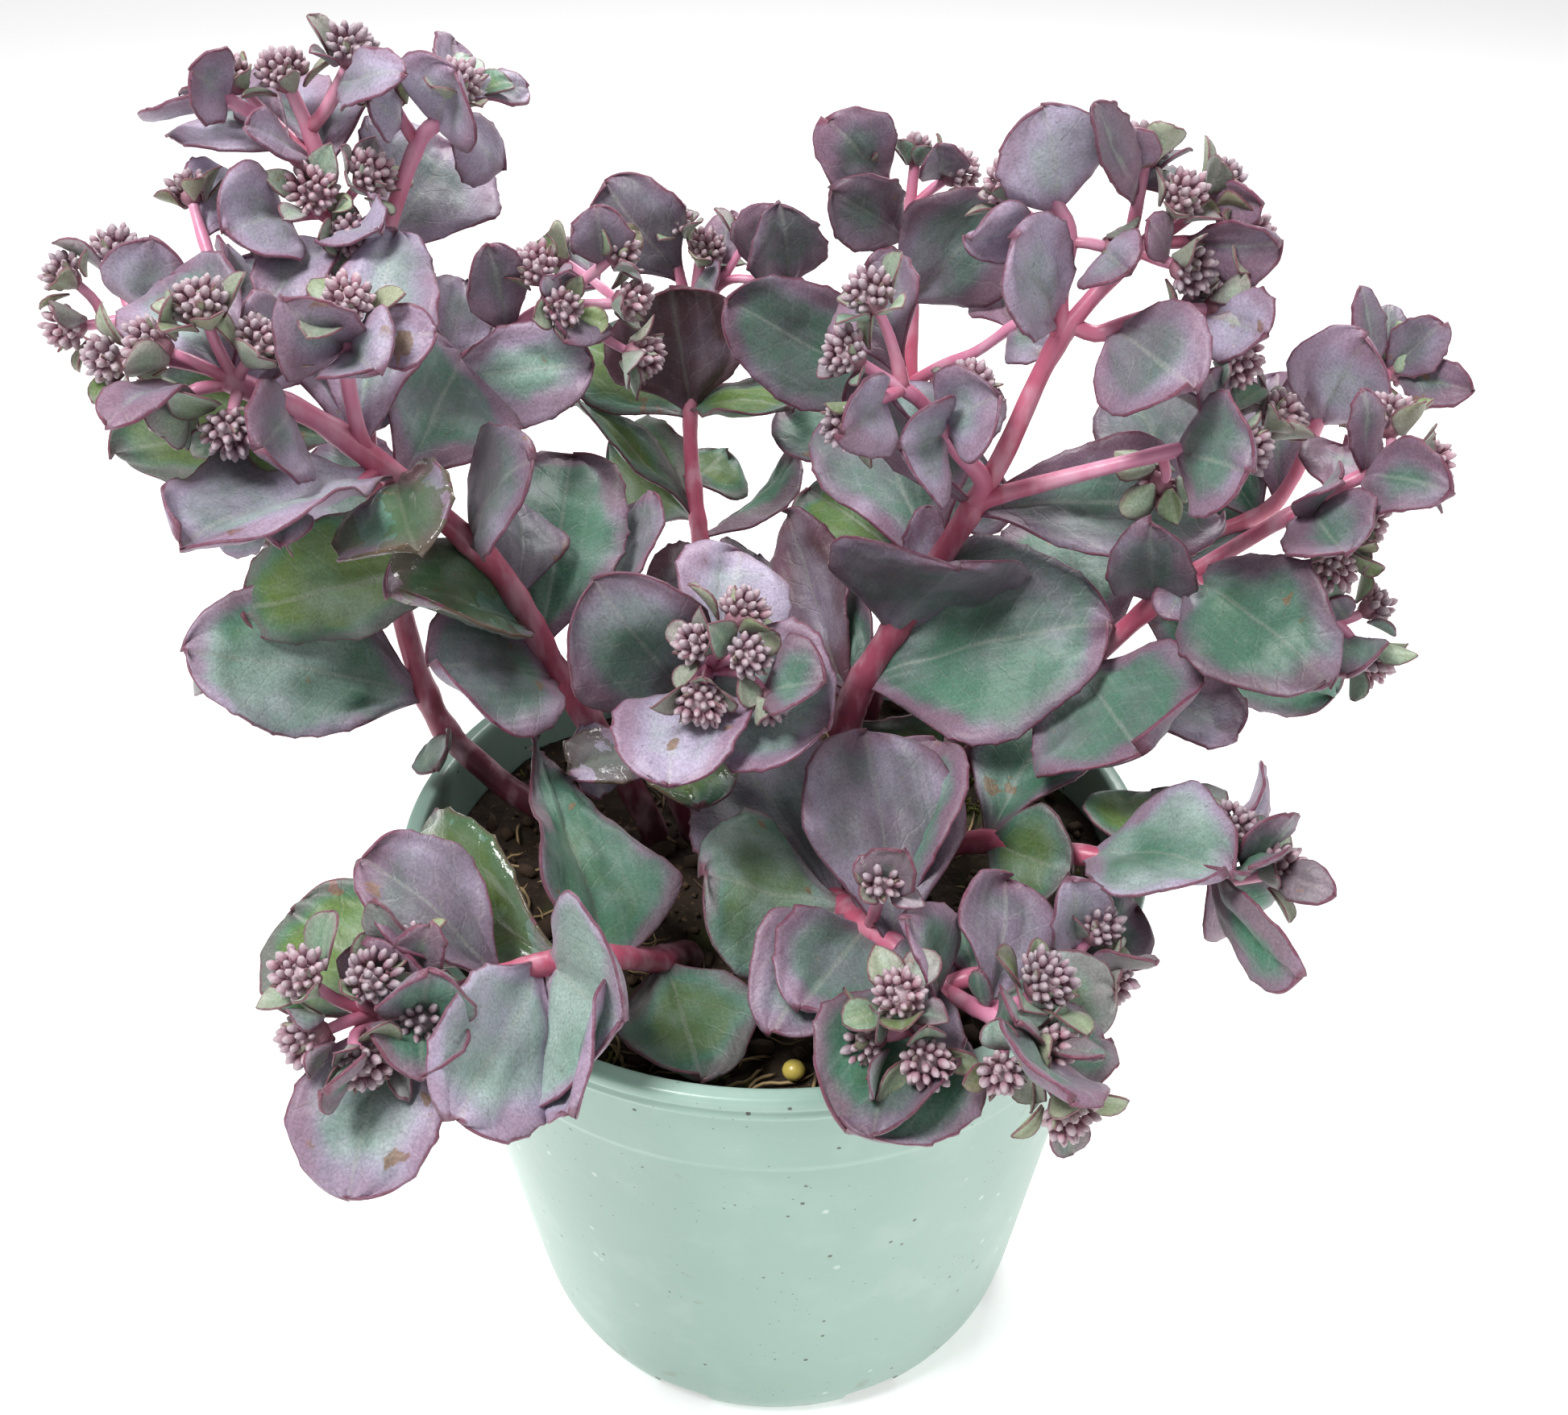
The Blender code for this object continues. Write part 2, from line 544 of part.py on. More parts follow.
def cut_short(path, gap):
    """The path ended at this distance from its last point, facing it."""
    end = path[-1]
    kept = [path[0]] + [point for point in path[1:] if (end - point).length > gap + 1]
    return kept + [end - (end - kept[-1]).normalized() * gap]


def cane_paths(stem, tips):
    """The path of each cane of a stem. A main cane starts upright in the soil, and tips moves an end."""
    paths = {}
    for name, parent, start, points, _, _, _ in stem["canes"]:
        if parent is None:
            points = [(*start, FOOT_LEVEL), (*start, SOIL_LEVEL + 2), *points]
        else:
            longest = path_lengths(paths[parent])[-1]
            root, _ = place_on(paths[parent], min(start * longest, longest - TWIG_INSET))
            points = [root, *points]
        paths[name] = smooth_path([*points[:-1], tips.get(name, points[-1])])
        for point in paths[name]:
            if point.z <= SOIL_LEVEL + 2:
                point.xy = start
    return paths


def place_heads():
    """The bud heads of all stems, each well out on its twig, with any two that would meet pushed apart."""
    heads = []
    for stem_name, stem in STEMS.items():
        paths = cane_paths(stem, {})
        for name, _, _, _, _, _, radius in stem["canes"]:
            if radius:
                out = paths[name][-1] - paths[name][0]
                reach = max(out.length, radius + SHORTEST_TWIG)
                centre = paths[name][0] + out.normalized() * reach
                heads.append({"stem": stem_name, "cane": name, "centre": centre, "radius": radius})
    for _ in range(30):
        for k, a in enumerate(heads):
            for b in heads[k + 1 :]:
                apart = b["centre"] - a["centre"]
                short = a["radius"] + b["radius"] + 2 * CLEARANCE - apart.length
                if short > 0:
                    a["centre"] -= apart.normalized() * short / 2
                    b["centre"] += apart.normalized() * short / 2
    largest = sorted(heads, key=lambda head: -head["radius"])[:OWN_HEADS]
    for head in heads:
        head["own"] = head in largest
    return heads


def blade_width(s):
    """Half width of a leaf at share s of its length, as a share of its greatest half width."""
    if s < 0.58:
        return 0.13 + 0.87 * math.sin(math.pi / 2 * s / 0.58) ** 1.3
    return math.sqrt(max(0.0, 1 - ((s - 0.58) / 0.42) ** 2.4))


class Leaf:
    """A fleshy obovate blade, from its root inside a cane to its round tip."""

    def __init__(self, place, tangent, cane_radius, heading, rise, roll, length, width, cup):
        level = math.cos(math.radians(rise))
        around = math.radians(heading)
        self.axis = Vector((math.cos(around) * level, math.sin(around) * level, math.sin(math.radians(rise))))
        face = tangent + Vector((0, 0, 0.5))
        face -= self.axis * face.dot(self.axis)
        self.face = Matrix.Rotation(math.radians(roll), 3, self.axis) @ face.normalized()
        self.side = self.face.cross(self.axis)
        outward = self.axis - tangent * self.axis.dot(tangent)
        self.root = place + outward * max(0, cane_radius - ROOT_DEPTH)
        self.middle = self.root + self.axis * length / 2
        self.length = length
        self.width = width
        self.cup = cup
        self.phase = length + width + heading

    def point(self, s, t, lift=0.0):
        """A point of the blade: s runs from root to tip, t from side to side, and lift is along its face."""
        across = t * blade_width(s) * self.width / 2
        height = ARCH * self.length * 4 * s * (1 - s) + self.cup * abs(across) * abs(t)
        height += RIPPLE * self.length * t * s * math.sin(5.5 * s + self.phase)
        return self.root + self.axis * s * self.length + self.side * across + self.face * (height + lift)


def blade_rows(length):
    """Shares of a leaf's length at which its blade has a row of three points."""
    if length >= 33:
        return (0.0, 0.3, 0.6, 0.84, 0.965)
    if length >= 23:
        return (0.0, 0.4, 0.76, 0.955)
    return (0.0, 0.55, 0.93)


def probe(leaf, first):
    """The search tree of a leaf's outside from share first to its tip, with the air that it keeps."""
    rows = blade_rows(leaf.length)
    lift = BLADE / 2 + AIR
    places = []
    for s in rows:
        middle = 1.0 if s == rows[-1] else max(s, first)
        places += [(max(s, first), -1.03), (middle, 0.0), (max(s, first), 1.03)]
    points = [leaf.point(s, t, lift) for s, t in places] + [leaf.point(s, t, -lift) for s, t in places]
    below = len(places)
    last = below - 3
    top = [(k + c, k + c + 1, k + c + 4, k + c + 3) for k in range(0, last, 3) for c in (0, 1)]
    edge = [*range(0, last + 3, 3), last + 1, *range(last + 2, 0, -3), 1]
    quads = top + [tuple(below + k for k in reversed(quad)) for quad in top]
    quads += [(a, b, below + b, below + a) for a, b in zip(edge, edge[1:] + edge[:1])]
    return BVHTree.FromPolygons(points, quads)


def tube_tree(path, foot_radius, tip_radius):
    """The search tree of a cane, with the air that leaves keep."""
    stations = path[::4] + path[-1:]
    points, quads = [], []
    for k, place in enumerate(stations):
        ahead = stations[min(k + 1, len(stations) - 1)] - stations[max(k - 1, 0)]
        across = ahead.orthogonal().normalized()
        radius = foot_radius + (tip_radius - foot_radius) * k / (len(stations) - 1) + AIR
        points += [place + Matrix.Rotation(math.tau * n / 6, 3, ahead) @ across * radius for n in range(6)]
        if k:
            first = 6 * k
            for n, after in ((0, 1), (1, 2), (2, 3), (3, 4), (4, 5), (5, 0)):
                quads.append((first + n, first + after, first - 6 + after, first - 6 + n))
    return BVHTree.FromPolygons(points, quads)


def turned_tree(line, sides):
    """The search tree of a surface turned from a line of (radius, height)."""
    angles = [math.tau * n / sides for n in range(sides)]
    points = [(r * math.cos(angle), r * math.sin(angle), z) for r, z in line for angle in angles]
    quads = []
    for k in range(0, len(points) - sides, sides):
        for n in range(sides):
            after = (n + 1) % sides
            quads.append((k + n, k + after, k + sides + after, k + sides + n))
    return BVHTree.FromPolygons(points, quads)


def barriers():
    """The pot's flange and outside and the soil, as things that leaves keep clear of."""
    flange = RIM_RADIUS + 0.6
    top = POT_HEIGHT + 0.6
    inner = RIM_RADIUS - FLANGE_WIDTH - 1
    lines = [
        [(flange, POT_HEIGHT - 8), (flange, top), (inner, top), (wall_radius(117), 117)],
        [(wall_radius(117), SOIL_LEVEL + 1.2), (0.1, SOIL_LEVEL + 1.2)],
        [(BASE_RADIUS, 0), (RIM_RADIUS, POT_HEIGHT - 8)],
    ]
    trees = [turned_tree(line, POT_SIDES) for line in lines]
    middle = Vector((0, 0, POT_HEIGHT / 2))
    return [("pot", "wall", tree, tree, middle, POT_HEIGHT) for tree in trees]


def meets(leaf, whole, outer, stem_name, cane_name, thing):
    """Whether a leaf meets a thing in place. Near its root it may meet its own stem."""
    owner, name, tree, outer_tree, middle, reach = thing
    if (leaf.middle - middle).length > reach + leaf.length * 0.75:
        return False
    if owner != stem_name:
        return bool(whole.overlap(tree))
    return name != cane_name and bool(outer.overlap(outer_tree))


def bends():
    """Changes to a leaf, the least first: heading, rise, roll, share of its size, and a slide to its root."""
    changes = []
    for swing in (0, 8, 16, 24, 34, 46):
        for k in range(8 if swing else 1):
            heading = swing * math.cos(math.tau * k / 8)
            rise = swing * math.sin(math.tau * k / 8)
            for roll in (0, 15, -15, 30, -30):
                for size in (1.0, 0.9, 0.78, 0.66):
                    for slide in (0, 2.5, 5):
                        change = swing / 8 + abs(roll) / 20 + (1 - size) * 11 + slide / 2.5
                        changes.append((round(change, 3), (heading, rise, roll, size, slide)))
    return [bend for _, bend in sorted(changes)]


BENDS = bends()


def bend_clear(row, cane, stem_name, taken):
    """The leaf of a table row, changed as little as keeps it clear of what is in place, or None."""
    cane_name, share, heading, rise, length, width, roll, *cup = row
    path, foot_radius, tip_radius = cane
    radius = foot_radius + (tip_radius - foot_radius) * share
    total = path_lengths(path)[-1]
    along = min(share * total, total - ROOT_INSET)
    for more_heading, more_rise, more_roll, size, slide in BENDS:
        if slide > along:
            continue
        place, tangent = place_on(path, along - slide)
        angles = (heading + more_heading, rise + more_rise, roll + more_roll)
        leaf = Leaf(place, tangent, radius, *angles, length * size, width * size, cup[0] if cup else CUP)
        whole = probe(leaf, 0.04)
        outer = probe(leaf, max(0.2, (radius + 1.5) / leaf.length))
        if not any(meets(leaf, whole, outer, stem_name, cane_name, thing) for thing in taken):
            return leaf
    return None


def grow():
    """Works out every cane, head and leaf. Leaves are bent clear of what is in place, the front ones first."""
    heads = place_heads()
    taken = barriers()
    canes = {}
    for stem_name, stem in STEMS.items():
        own_heads = {head["cane"]: head for head in heads if head["stem"] == stem_name}
        paths = cane_paths(stem, {name: head["centre"] for name, head in own_heads.items()})
        for name, _, _, _, foot_radius, tip_radius, _ in stem["canes"]:
            path = paths[name]
            if name in own_heads:
                head = own_heads[name]
                gap = head["radius"] * HOLLOW + HEAD_GAP if head["own"] else head["radius"] * 0.3
                path = cut_short(path, gap)
                head["axis"] = head["centre"] - path[-1]
            canes[stem_name, name] = (path, foot_radius, tip_radius)
            tree = tube_tree(path, foot_radius, tip_radius)
            middle = (path[0] + path[-1]) / 2
            reach = max((point - middle).length for point in path) + foot_radius
            taken.append((stem_name, name, tree, tree, middle, reach))
    for head in heads:
        shape = head_shape(head, AIR)
        tree = BVHTree.FromBMesh(shape)
        shape.free()
        owner = "head" if head["own"] else head["stem"]
        taken.append((owner, head["cane"], tree, tree, head["centre"], head["radius"] + AIR))
    leaves = {stem_name: [] for stem_name in STEMS}
    for stem_name in sorted(STEMS, key=lambda name: not name.startswith(("front", "centre"))):
        for row in STEMS[stem_name]["leaves"]:
            leaf = bend_clear(row, canes[stem_name, row[0]], stem_name, taken)
            if leaf:
                leaves[stem_name].append(leaf)
                trees = (probe(leaf, 0.04), probe(leaf, 0.25))
                taken.append((stem_name, "leaf", *trees, leaf.middle, leaf.length * 0.75))
    return canes, heads, leaves


def material(name, colour, roughness):
    """A plain surface of one colour."""
    made = bpy.data.materials.new(name)
    made.use_nodes = True
    surface = made.node_tree.nodes["Principled BSDF"]
    surface.inputs["Base Color"].default_value = (*colour, 1)
    surface.inputs["Roughness"].default_value = roughness
    surface.inputs["Metallic"].default_value = 0
    made.diffuse_color = (*colour, 1)
    return made


def new_collection(name):
    made = bpy.data.collections.new(name)
    bpy.context.scene.collection.children.link(made)
    return made


def new_object(name, data, collection):
    made = bpy.data.objects.new(name, data)
    collection.objects.link(made)
    return made


def mesh_of(shape, name):
    """A mesh in metres of a shape that is edited in millimetres."""
    bmesh.ops.scale(shape, vec=(METRES, METRES, METRES), verts=shape.verts)
    mesh = bpy.data.meshes.new(name)
    shape.to_mesh(mesh)
    shape.free()
    return mesh


def evaluated_mesh(made, weld):
    """The mesh of an object with its modifiers or bevel, its points welded where they are this near."""
    graph = bpy.context.evaluated_depsgraph_get()
    mesh = bpy.data.meshes.new_from_object(made.evaluated_get(graph))
    shape = bmesh.new()
    shape.from_mesh(mesh)
    bmesh.ops.remove_doubles(shape, verts=shape.verts, dist=weld)
    bmesh.ops.recalc_face_normals(shape, faces=shape.faces)
    shape.to_mesh(mesh)
    shape.free()
    return mesh


def turned(name, profile, sides):
    """A body turned from a profile of (radius, height) that runs down its outer side."""
    points = [(radius * METRES, 0, height * METRES) for radius, height in profile]
    mesh = bpy.data.meshes.new(name)
    mesh.from_pydata(points, [(k, k + 1) for k in range(len(points) - 1)], [])
    body = new_object(name, mesh, PARTS)
    screw = body.modifiers.new("turn", "SCREW")
    screw.steps = sides
    screw.render_steps = sides
    screw.use_merge_vertices = True
    screw.merge_threshold = 0.0001
    return body


def cut(body, cutters, name):
    """Cuts shapes that are in millimetres out of a body."""
    cutter = new_object(name, mesh_of(cutters, name), CUTTERS)
    cutter.hide_render = True
    cutter.display_type = "WIRE"
    boolean = body.modifiers.new(name, "BOOLEAN")
    boolean.operation = "DIFFERENCE"
    boolean.solver = "EXACT"
    boolean.object = cutter


def wall_radius(height):
    """Radius of the pot's inner wall at this height."""
    return 60.1 + (77.6 - 60.1) * (height - 12) / (118 - 12)


FLOOR = FOOT_HEIGHT + WALL


def make_pot():
    """The pot: a tapered wall with a step below its flange, and a floor on a slotted ring and a pad."""
    profile = [
        (0, FLOOR),
        (BASE_RADIUS - 5.5, FLOOR),
        (wall_radius(12), 12),
        (wall_radius(118), 118),
        (RIM_RADIUS - FLANGE_WIDTH - 0.4, POT_HEIGHT - 1.6),
        (RIM_RADIUS - FLANGE_WIDTH, POT_HEIGHT),
        (RIM_RADIUS - 0.6, POT_HEIGHT),
        (RIM_RADIUS, POT_HEIGHT - 0.6),
        (RIM_RADIUS, POT_HEIGHT - LIP_HEIGHT),
        (RIM_RADIUS - 3.2, POT_HEIGHT - LIP_HEIGHT - 0.3),
        (STEP_RADIUS + 1.9, STEP_LEVEL + 0.5),
        (STEP_RADIUS + 0.9, STEP_LEVEL),
        (BASE_RADIUS + 0.4, 12),
        (BASE_RADIUS - 1.2, 5),
        (FOOT_RING[1], 0),
        (FOOT_RING[0], 0),
        (FOOT_RING[0] - 0.8, FOOT_HEIGHT),
        (PAD_RADIUS + 1.5, FOOT_HEIGHT),
        (PAD_RADIUS, 0),
        (0, 0),
    ]
    pot = turned("pot", profile, POT_SIDES)
    slots = bmesh.new()
    inner = FOOT_RING[0] - 3
    outer = BASE_RADIUS + 3
    for k in range(SLOT_COUNT):
        turn = Matrix.Rotation(math.tau * (k + 0.5) / SLOT_COUNT, 4, "Z")
        place = Matrix.Translation(((inner + outer) / 2, 0, SLOT_HEIGHT / 2 - 1))
        size = Matrix.Diagonal((outer - inner, SLOT_WIDTH, SLOT_HEIGHT + 2, 1))
        bmesh.ops.create_cube(slots, size=1, matrix=turn @ place @ size)
    cut(pot, slots, "drain_slots")
    pot.data.materials.append(material("pot_plastic", (0.47, 0.7, 0.6), 0.38))


def soil_height(x, y):
    """Height of the soil's rough top, which sinks a little at the wall."""
    sunk = 1.2 * max(0.0, 1 - max(0.0, 76 - math.hypot(x, y)) / 12)
    return SOIL_LEVEL - sunk + SOIL_ROUGHNESS * noise.noise(Vector((x / 17, y / 17, 4.2)))


def make_soil():
    """The peat that fills the pot, with an upright hole for each stem's foot."""
    profile = [(radius, SOIL_LEVEL) for radius in (0, 22, 42, 62)]
    profile += [
        (wall_radius(117) - CLEARANCE, SOIL_LEVEL - 2),
        (wall_radius(12) - CLEARANCE - 0.1, 12.2),
        (BASE_RADIUS - 6, FLOOR + CLEARANCE),
        (0, FLOOR + CLEARANCE),
    ]
    soil = turned("soil", profile, SOIL_SIDES)
    soil.data = evaluated_mesh(soil, 0.00001)
    soil.modifiers.clear()
    for vert in soil.data.vertices:
        if vert.co.z > (SOIL_LEVEL - 1) * METRES:
            vert.co.z = soil_height(vert.co.x / METRES, vert.co.y / METRES) * METRES
    holes = bmesh.new()
    bottom = FOOT_LEVEL - CLEARANCE
    depth = SOIL_LEVEL + 5 - bottom
    for stem in STEMS.values():
        _, _, (x, y), _, radius, _, _ = stem["canes"][0]
        wide = (radius + CLEARANCE) / math.cos(math.pi / 8)
        place = Matrix.Translation((x, y, bottom + depth / 2))
        bmesh.ops.create_cone(
            holes, cap_ends=True, segments=8, radius1=wide, radius2=wide, depth=depth, matrix=place
        )
    cut(soil, holes, "stem_holes")
    soil.data.materials.append(material("potting_soil", (0.035, 0.025, 0.018), 0.95))


def make_grain():
    """A ball of slow-release feed on the soil."""
    x, y = GRAIN_PLACE
    nearby = [soil_height(x + across, y + along) for across in (-2, 0, 2) for along in (-2, 0, 2)]
    place = Matrix.Translation((x, y, max(nearby) + CLEARANCE + GRAIN_RADIUS))
    ball = bmesh.new()
    bmesh.ops.create_icosphere(ball, subdivisions=2, radius=GRAIN_RADIUS, matrix=place)
    grain = new_object("feed_grain", mesh_of(ball, "feed_grain"), PARTS)
    grain.data.materials.append(material("feed_grain", (0.75, 0.6, 0.12), 0.5))


def cane_object(path, foot_radius, tip_radius):
    """A cane as a tapered tube with closed ends, upright in the soil where it is a main one."""
    total = path_lengths(path)[-1]
    is_main = path[0].z == FOOT_LEVEL
    upright = SOIL_LEVEL + 2 - FOOT_LEVEL if is_main else 0.0
    count = max(1, round((total - upright) / (14 if is_main else 11)))
    places = [0.0] * is_main + [upright + (total - upright) * k / count for k in range(count + 1)]
    curve = bpy.data.curves.new("cane", "CURVE")
    curve.dimensions = "3D"
    curve.bevel_depth = METRES
    curve.bevel_resolution = 1 if is_main else 0
    curve.use_fill_caps = True
    spline = curve.splines.new("POLY")
    spline.points.add(len(places) - 1)
    for point, along in zip(spline.points, places):
        point.co = (*(place_on(path, along)[0] * METRES), 1)
        point.radius = foot_radius + (tip_radius - foot_radius) * along / total
    tube = new_object("cane_curve", curve, PARTS)
    made = new_object("cane", evaluated_mesh(tube, 0.00001), PARTS)
    made.matrix_world = tube.matrix_world
    bpy.data.objects.remove(tube)
    return made


def head_shape(head, extra=0.0):
    """A bud head: a ball with twelve buds that stand out of it, one hollow turned to its twig."""
    shape = bmesh.new()
    bmesh.ops.create_uvsphere(shape, u_segments=4, v_segments=2, radius=1)
    bmesh.ops.subdivide_edges(shape, edges=shape.edges, cuts=1, use_grid_fill=True)
    turn = head["axis"].to_track_quat("Z", "Y").to_matrix()
    for vert in shape.verts:
        is_hollow = vert.co.length > 0.9
        reach = head["radius"] * (HOLLOW if is_hollow else 1.0) + extra
        vert.co = head["centre"] + turn @ vert.co.normalized() * reach
    return shape


def leaf_object(leaf):
    """A leaf as a blade of even thickness with a wavy, toothed edge, split alike on both faces."""
    rows = blade_rows(leaf.length)
    last = len(rows) - 1
    blade = bmesh.new()
    bmesh.ops.create_grid(blade, x_segments=2, y_segments=last, size=1)
    for vert in blade.verts:
        row = round((vert.co.y + 1) / 2 * last)
        t = round(vert.co.x)
        s = 1.0 if row == last and t == 0 else rows[row]
        tooth = 1 + TOOTH * (-1) ** (row + (t > 0))
        vert.co = leaf.point(s, t * tooth, -BLADE / 2)
    bmesh.ops.triangulate(blade, faces=blade.faces, quad_method="FIXED")
    bmesh.ops.solidify(blade, geom=blade.faces, thickness=BLADE)
    bmesh.ops.recalc_face_normals(blade, faces=blade.faces)
    return new_object("leaf", mesh_of(blade, "leaf"), PARTS)


def shells_of(shape):
    """The separate closed surfaces of a shape, each a list of faces, the largest last."""
    left = set(shape.faces)
    shells = []
    while left:
        shell, front = [], [left.pop()]
        while front:
            face = front.pop()
            shell.append(face)
            near = {other for edge in face.edges for other in edge.link_faces} & left
            left -= near
            front += near
        shells.append(shell)
    return sorted(shells, key=len)


def largest_shell(mesh):
    """The mesh in triangles, without its scraps, its sealed hollows and its flaps of no thickness."""
    shape = bmesh.new()
    shape.from_mesh(mesh)
    smaller = [face for shell in shells_of(shape)[:-1] for face in shell]
    bmesh.ops.delete(shape, geom=smaller, context="FACES")
    bmesh.ops.triangulate(shape, faces=shape.faces)
    alike = {}
    for face in shape.faces:
        alike.setdefault(frozenset(face.verts), []).append(face)
    flaps = [face for faces in alike.values() if len(faces) > 1 for face in faces]
    bmesh.ops.delete(shape, geom=flaps, context="FACES")
    shape.to_mesh(mesh)
    shape.free()
    return mesh


def is_closed(mesh):
    """Whether each edge lies between two faces, with points nearer than a thousandth of a mm as one."""
    shape = bmesh.new()
    shape.from_mesh(mesh)
    bmesh.ops.remove_doubles(shape, verts=shape.verts, dist=0.000001)
    closed = all(len(edge.link_faces) == 2 for edge in shape.edges)
    shape.free()
    return closed


def joined(name, pieces):
    """One closed body made of pieces that overlap, with the slivers along their seams collapsed."""
    body, *others = pieces
    group = new_collection(name + "_pieces")
    for piece in others:
        PARTS.objects.unlink(piece)
        group.objects.link(piece)
    union = body.modifiers.new("join", "BOOLEAN")
    union.operation = "UNION"
    union.operand_type = "COLLECTION"
    union.collection = group
    made = new_object(name, body.data, PARTS)
    for solver, share in [(solver, share) for solver in ("EXACT", "MANIFOLD") for share in SLIVER_KEEP]:
        union.solver = solver
        made.data = largest_shell(evaluated_mesh(body, 0.000001))
        thin = made.modifiers.new("collapse_slivers", "DECIMATE")
        thin.ratio = share
        thin.use_collapse_triangulate = True
        mesh = evaluated_mesh(made, 0.000001)
        made.modifiers.clear()
        if is_closed(mesh):
            break
    made.data = mesh
    for piece in pieces:
        bpy.data.objects.remove(piece)
    bpy.data.collections.remove(group)
    return made


def make_plant():
    """Each stem with its leaves and small heads as one body, and each large head as one more."""
    canes, heads, leaves = grow()
    leafy = material("sedum_leaf", (0.36, 0.38, 0.36), 0.6)
    bud = material("sedum_bud", (0.55, 0.38, 0.4), 0.55)
    for stem_name in STEMS:
        pieces = [cane_object(*cane) for (owner, _), cane in canes.items() if owner == stem_name]
        pieces += [leaf_object(leaf) for leaf in leaves[stem_name]]
        count = 0
        for head in heads:
            if head["stem"] != stem_name:
                continue
            mesh = mesh_of(head_shape(head), "head")
            if head["own"]:
                count += 1
                made = new_object(f"{stem_name}_buds_{count}", mesh, PARTS)
                made.data.materials.append(bud)
            else:
                pieces.append(new_object("head", mesh, PARTS))
        stem = joined(stem_name + "_stem", pieces)
        stem.data.materials.append(leafy)


for old in list(bpy.data.objects):
    bpy.data.objects.remove(old)
PARTS = new_collection("potted_sedum")
CUTTERS = new_collection("cutters")
make_pot()
make_soil()
make_grain()
make_plant()
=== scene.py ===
"""A potted sedum in its nursery pot, dressed on the frame of its CAD model.

Lengths are in millimetres and angles in degrees, and each mesh is scaled to metres as its piece is made.
"""

import math
import random

import bmesh
import bpy
from mathutils import Matrix, Vector, noise


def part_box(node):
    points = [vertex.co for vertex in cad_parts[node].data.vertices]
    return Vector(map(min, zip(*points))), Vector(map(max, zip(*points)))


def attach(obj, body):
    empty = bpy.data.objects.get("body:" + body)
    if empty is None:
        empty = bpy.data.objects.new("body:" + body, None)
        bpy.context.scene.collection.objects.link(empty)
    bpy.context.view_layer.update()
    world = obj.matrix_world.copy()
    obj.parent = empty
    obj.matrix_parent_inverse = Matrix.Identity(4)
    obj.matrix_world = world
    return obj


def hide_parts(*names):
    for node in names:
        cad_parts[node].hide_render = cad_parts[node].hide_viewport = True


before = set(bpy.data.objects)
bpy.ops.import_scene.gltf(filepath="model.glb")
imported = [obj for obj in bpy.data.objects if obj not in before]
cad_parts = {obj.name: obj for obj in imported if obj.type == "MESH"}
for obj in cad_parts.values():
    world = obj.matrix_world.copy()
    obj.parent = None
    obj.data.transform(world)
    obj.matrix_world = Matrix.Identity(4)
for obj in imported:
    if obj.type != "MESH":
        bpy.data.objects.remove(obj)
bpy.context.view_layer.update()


# Camera and studio
# A hand-held camera looks down on the plant from the front. The pot stands on a plain floor that glows a
# little, in the light of a lamp over its left, weaker ones at the right and behind, and pale walls all round.
camera_lens = bpy.data.cameras.new("camera")
camera_lens.sensor_width = 36
camera_lens.lens = 39.8
camera_lens.clip_start = 0.01
camera = bpy.data.objects.new("camera", camera_lens)
camera.location = (0, -0.304, 0.375)
camera.rotation_euler = (math.radians(55.3), 0, math.radians(-0.4))
put_in_scene = bpy.context.scene.collection.objects.link
put_in_scene(camera)
bpy.context.scene.camera = camera
bpy.context.scene.view_settings.view_transform = "Standard"

LIT_PLACE = Vector((0, 0, 0.15))
for lamp_name, place, watts, wide in (
    ("key_lamp", (-0.4, -0.32, 1.12), 13, 0.35),
    ("fill_lamp", (0.9, -0.5, 0.6), 2.5, 0.7),
    ("back_lamp", (0.25, 0.7, 0.9), 8, 0.4),
):
    lamp = bpy.data.lights.new(lamp_name, "AREA")
    lamp.energy = watts
    lamp.size = wide
    stand = bpy.data.objects.new(lamp_name, lamp)
    stand.location = place
    stand.rotation_euler = (LIT_PLACE - Vector(place)).to_track_quat("-Z", "Y").to_euler()
    put_in_scene(stand)

walls = bpy.data.worlds.new("pale_walls")
walls.use_nodes = True
wall_light = walls.node_tree.nodes["Background"].inputs
wall_light["Color"].default_value = (1, 1, 1, 1)
wall_light["Strength"].default_value = 0.33
bpy.context.scene.world = walls


def shaped(name, shape):
    """An object of this shape, in the scene."""
    mesh = bpy.data.meshes.new(name)
    shape.to_mesh(mesh)
    shape.free()
    made = bpy.data.objects.new(name, mesh)
    put_in_scene(made)
    return made


floor_shape = bmesh.new()
bmesh.ops.create_circle(floor_shape, cap_ends=True, segments=96, radius=12)
floor = shaped("floor", floor_shape)
floor_paint = bpy.data.materials.new("floor_paint")
floor_paint.use_nodes = True
floor_look = floor_paint.node_tree.nodes["Principled BSDF"].inputs
floor_look["Base Color"].default_value = (0.9, 0.9, 0.9, 1)
floor_look["Roughness"].default_value = 0.8
floor_look["Emission Color"].default_value = (1, 1, 1, 1)
floor_look["Emission Strength"].default_value = 0.45
floor.data.materials.append(floor_paint)


# Pot
# An injection-moulded nursery pot of mint-green polypropylene: a thin tapered wall with a rolled flange, a
# shallow step two fingers below it, and slots round its foot that let water out. Soil has splashed it.
POT_HEIGHT = 133
RIM_RADIUS = 82.5
WALL_FOOT, WALL_TOP = (60.1, 12), (77.6, 118)  # radius and height of the ends of the plain inner wall
POT_SIDES = 144
SLOT_COUNT = 8
SLOT_SIZE = (18.5, 14, 8)
SLOT_PLACE = (55.25, 0, 2.0)


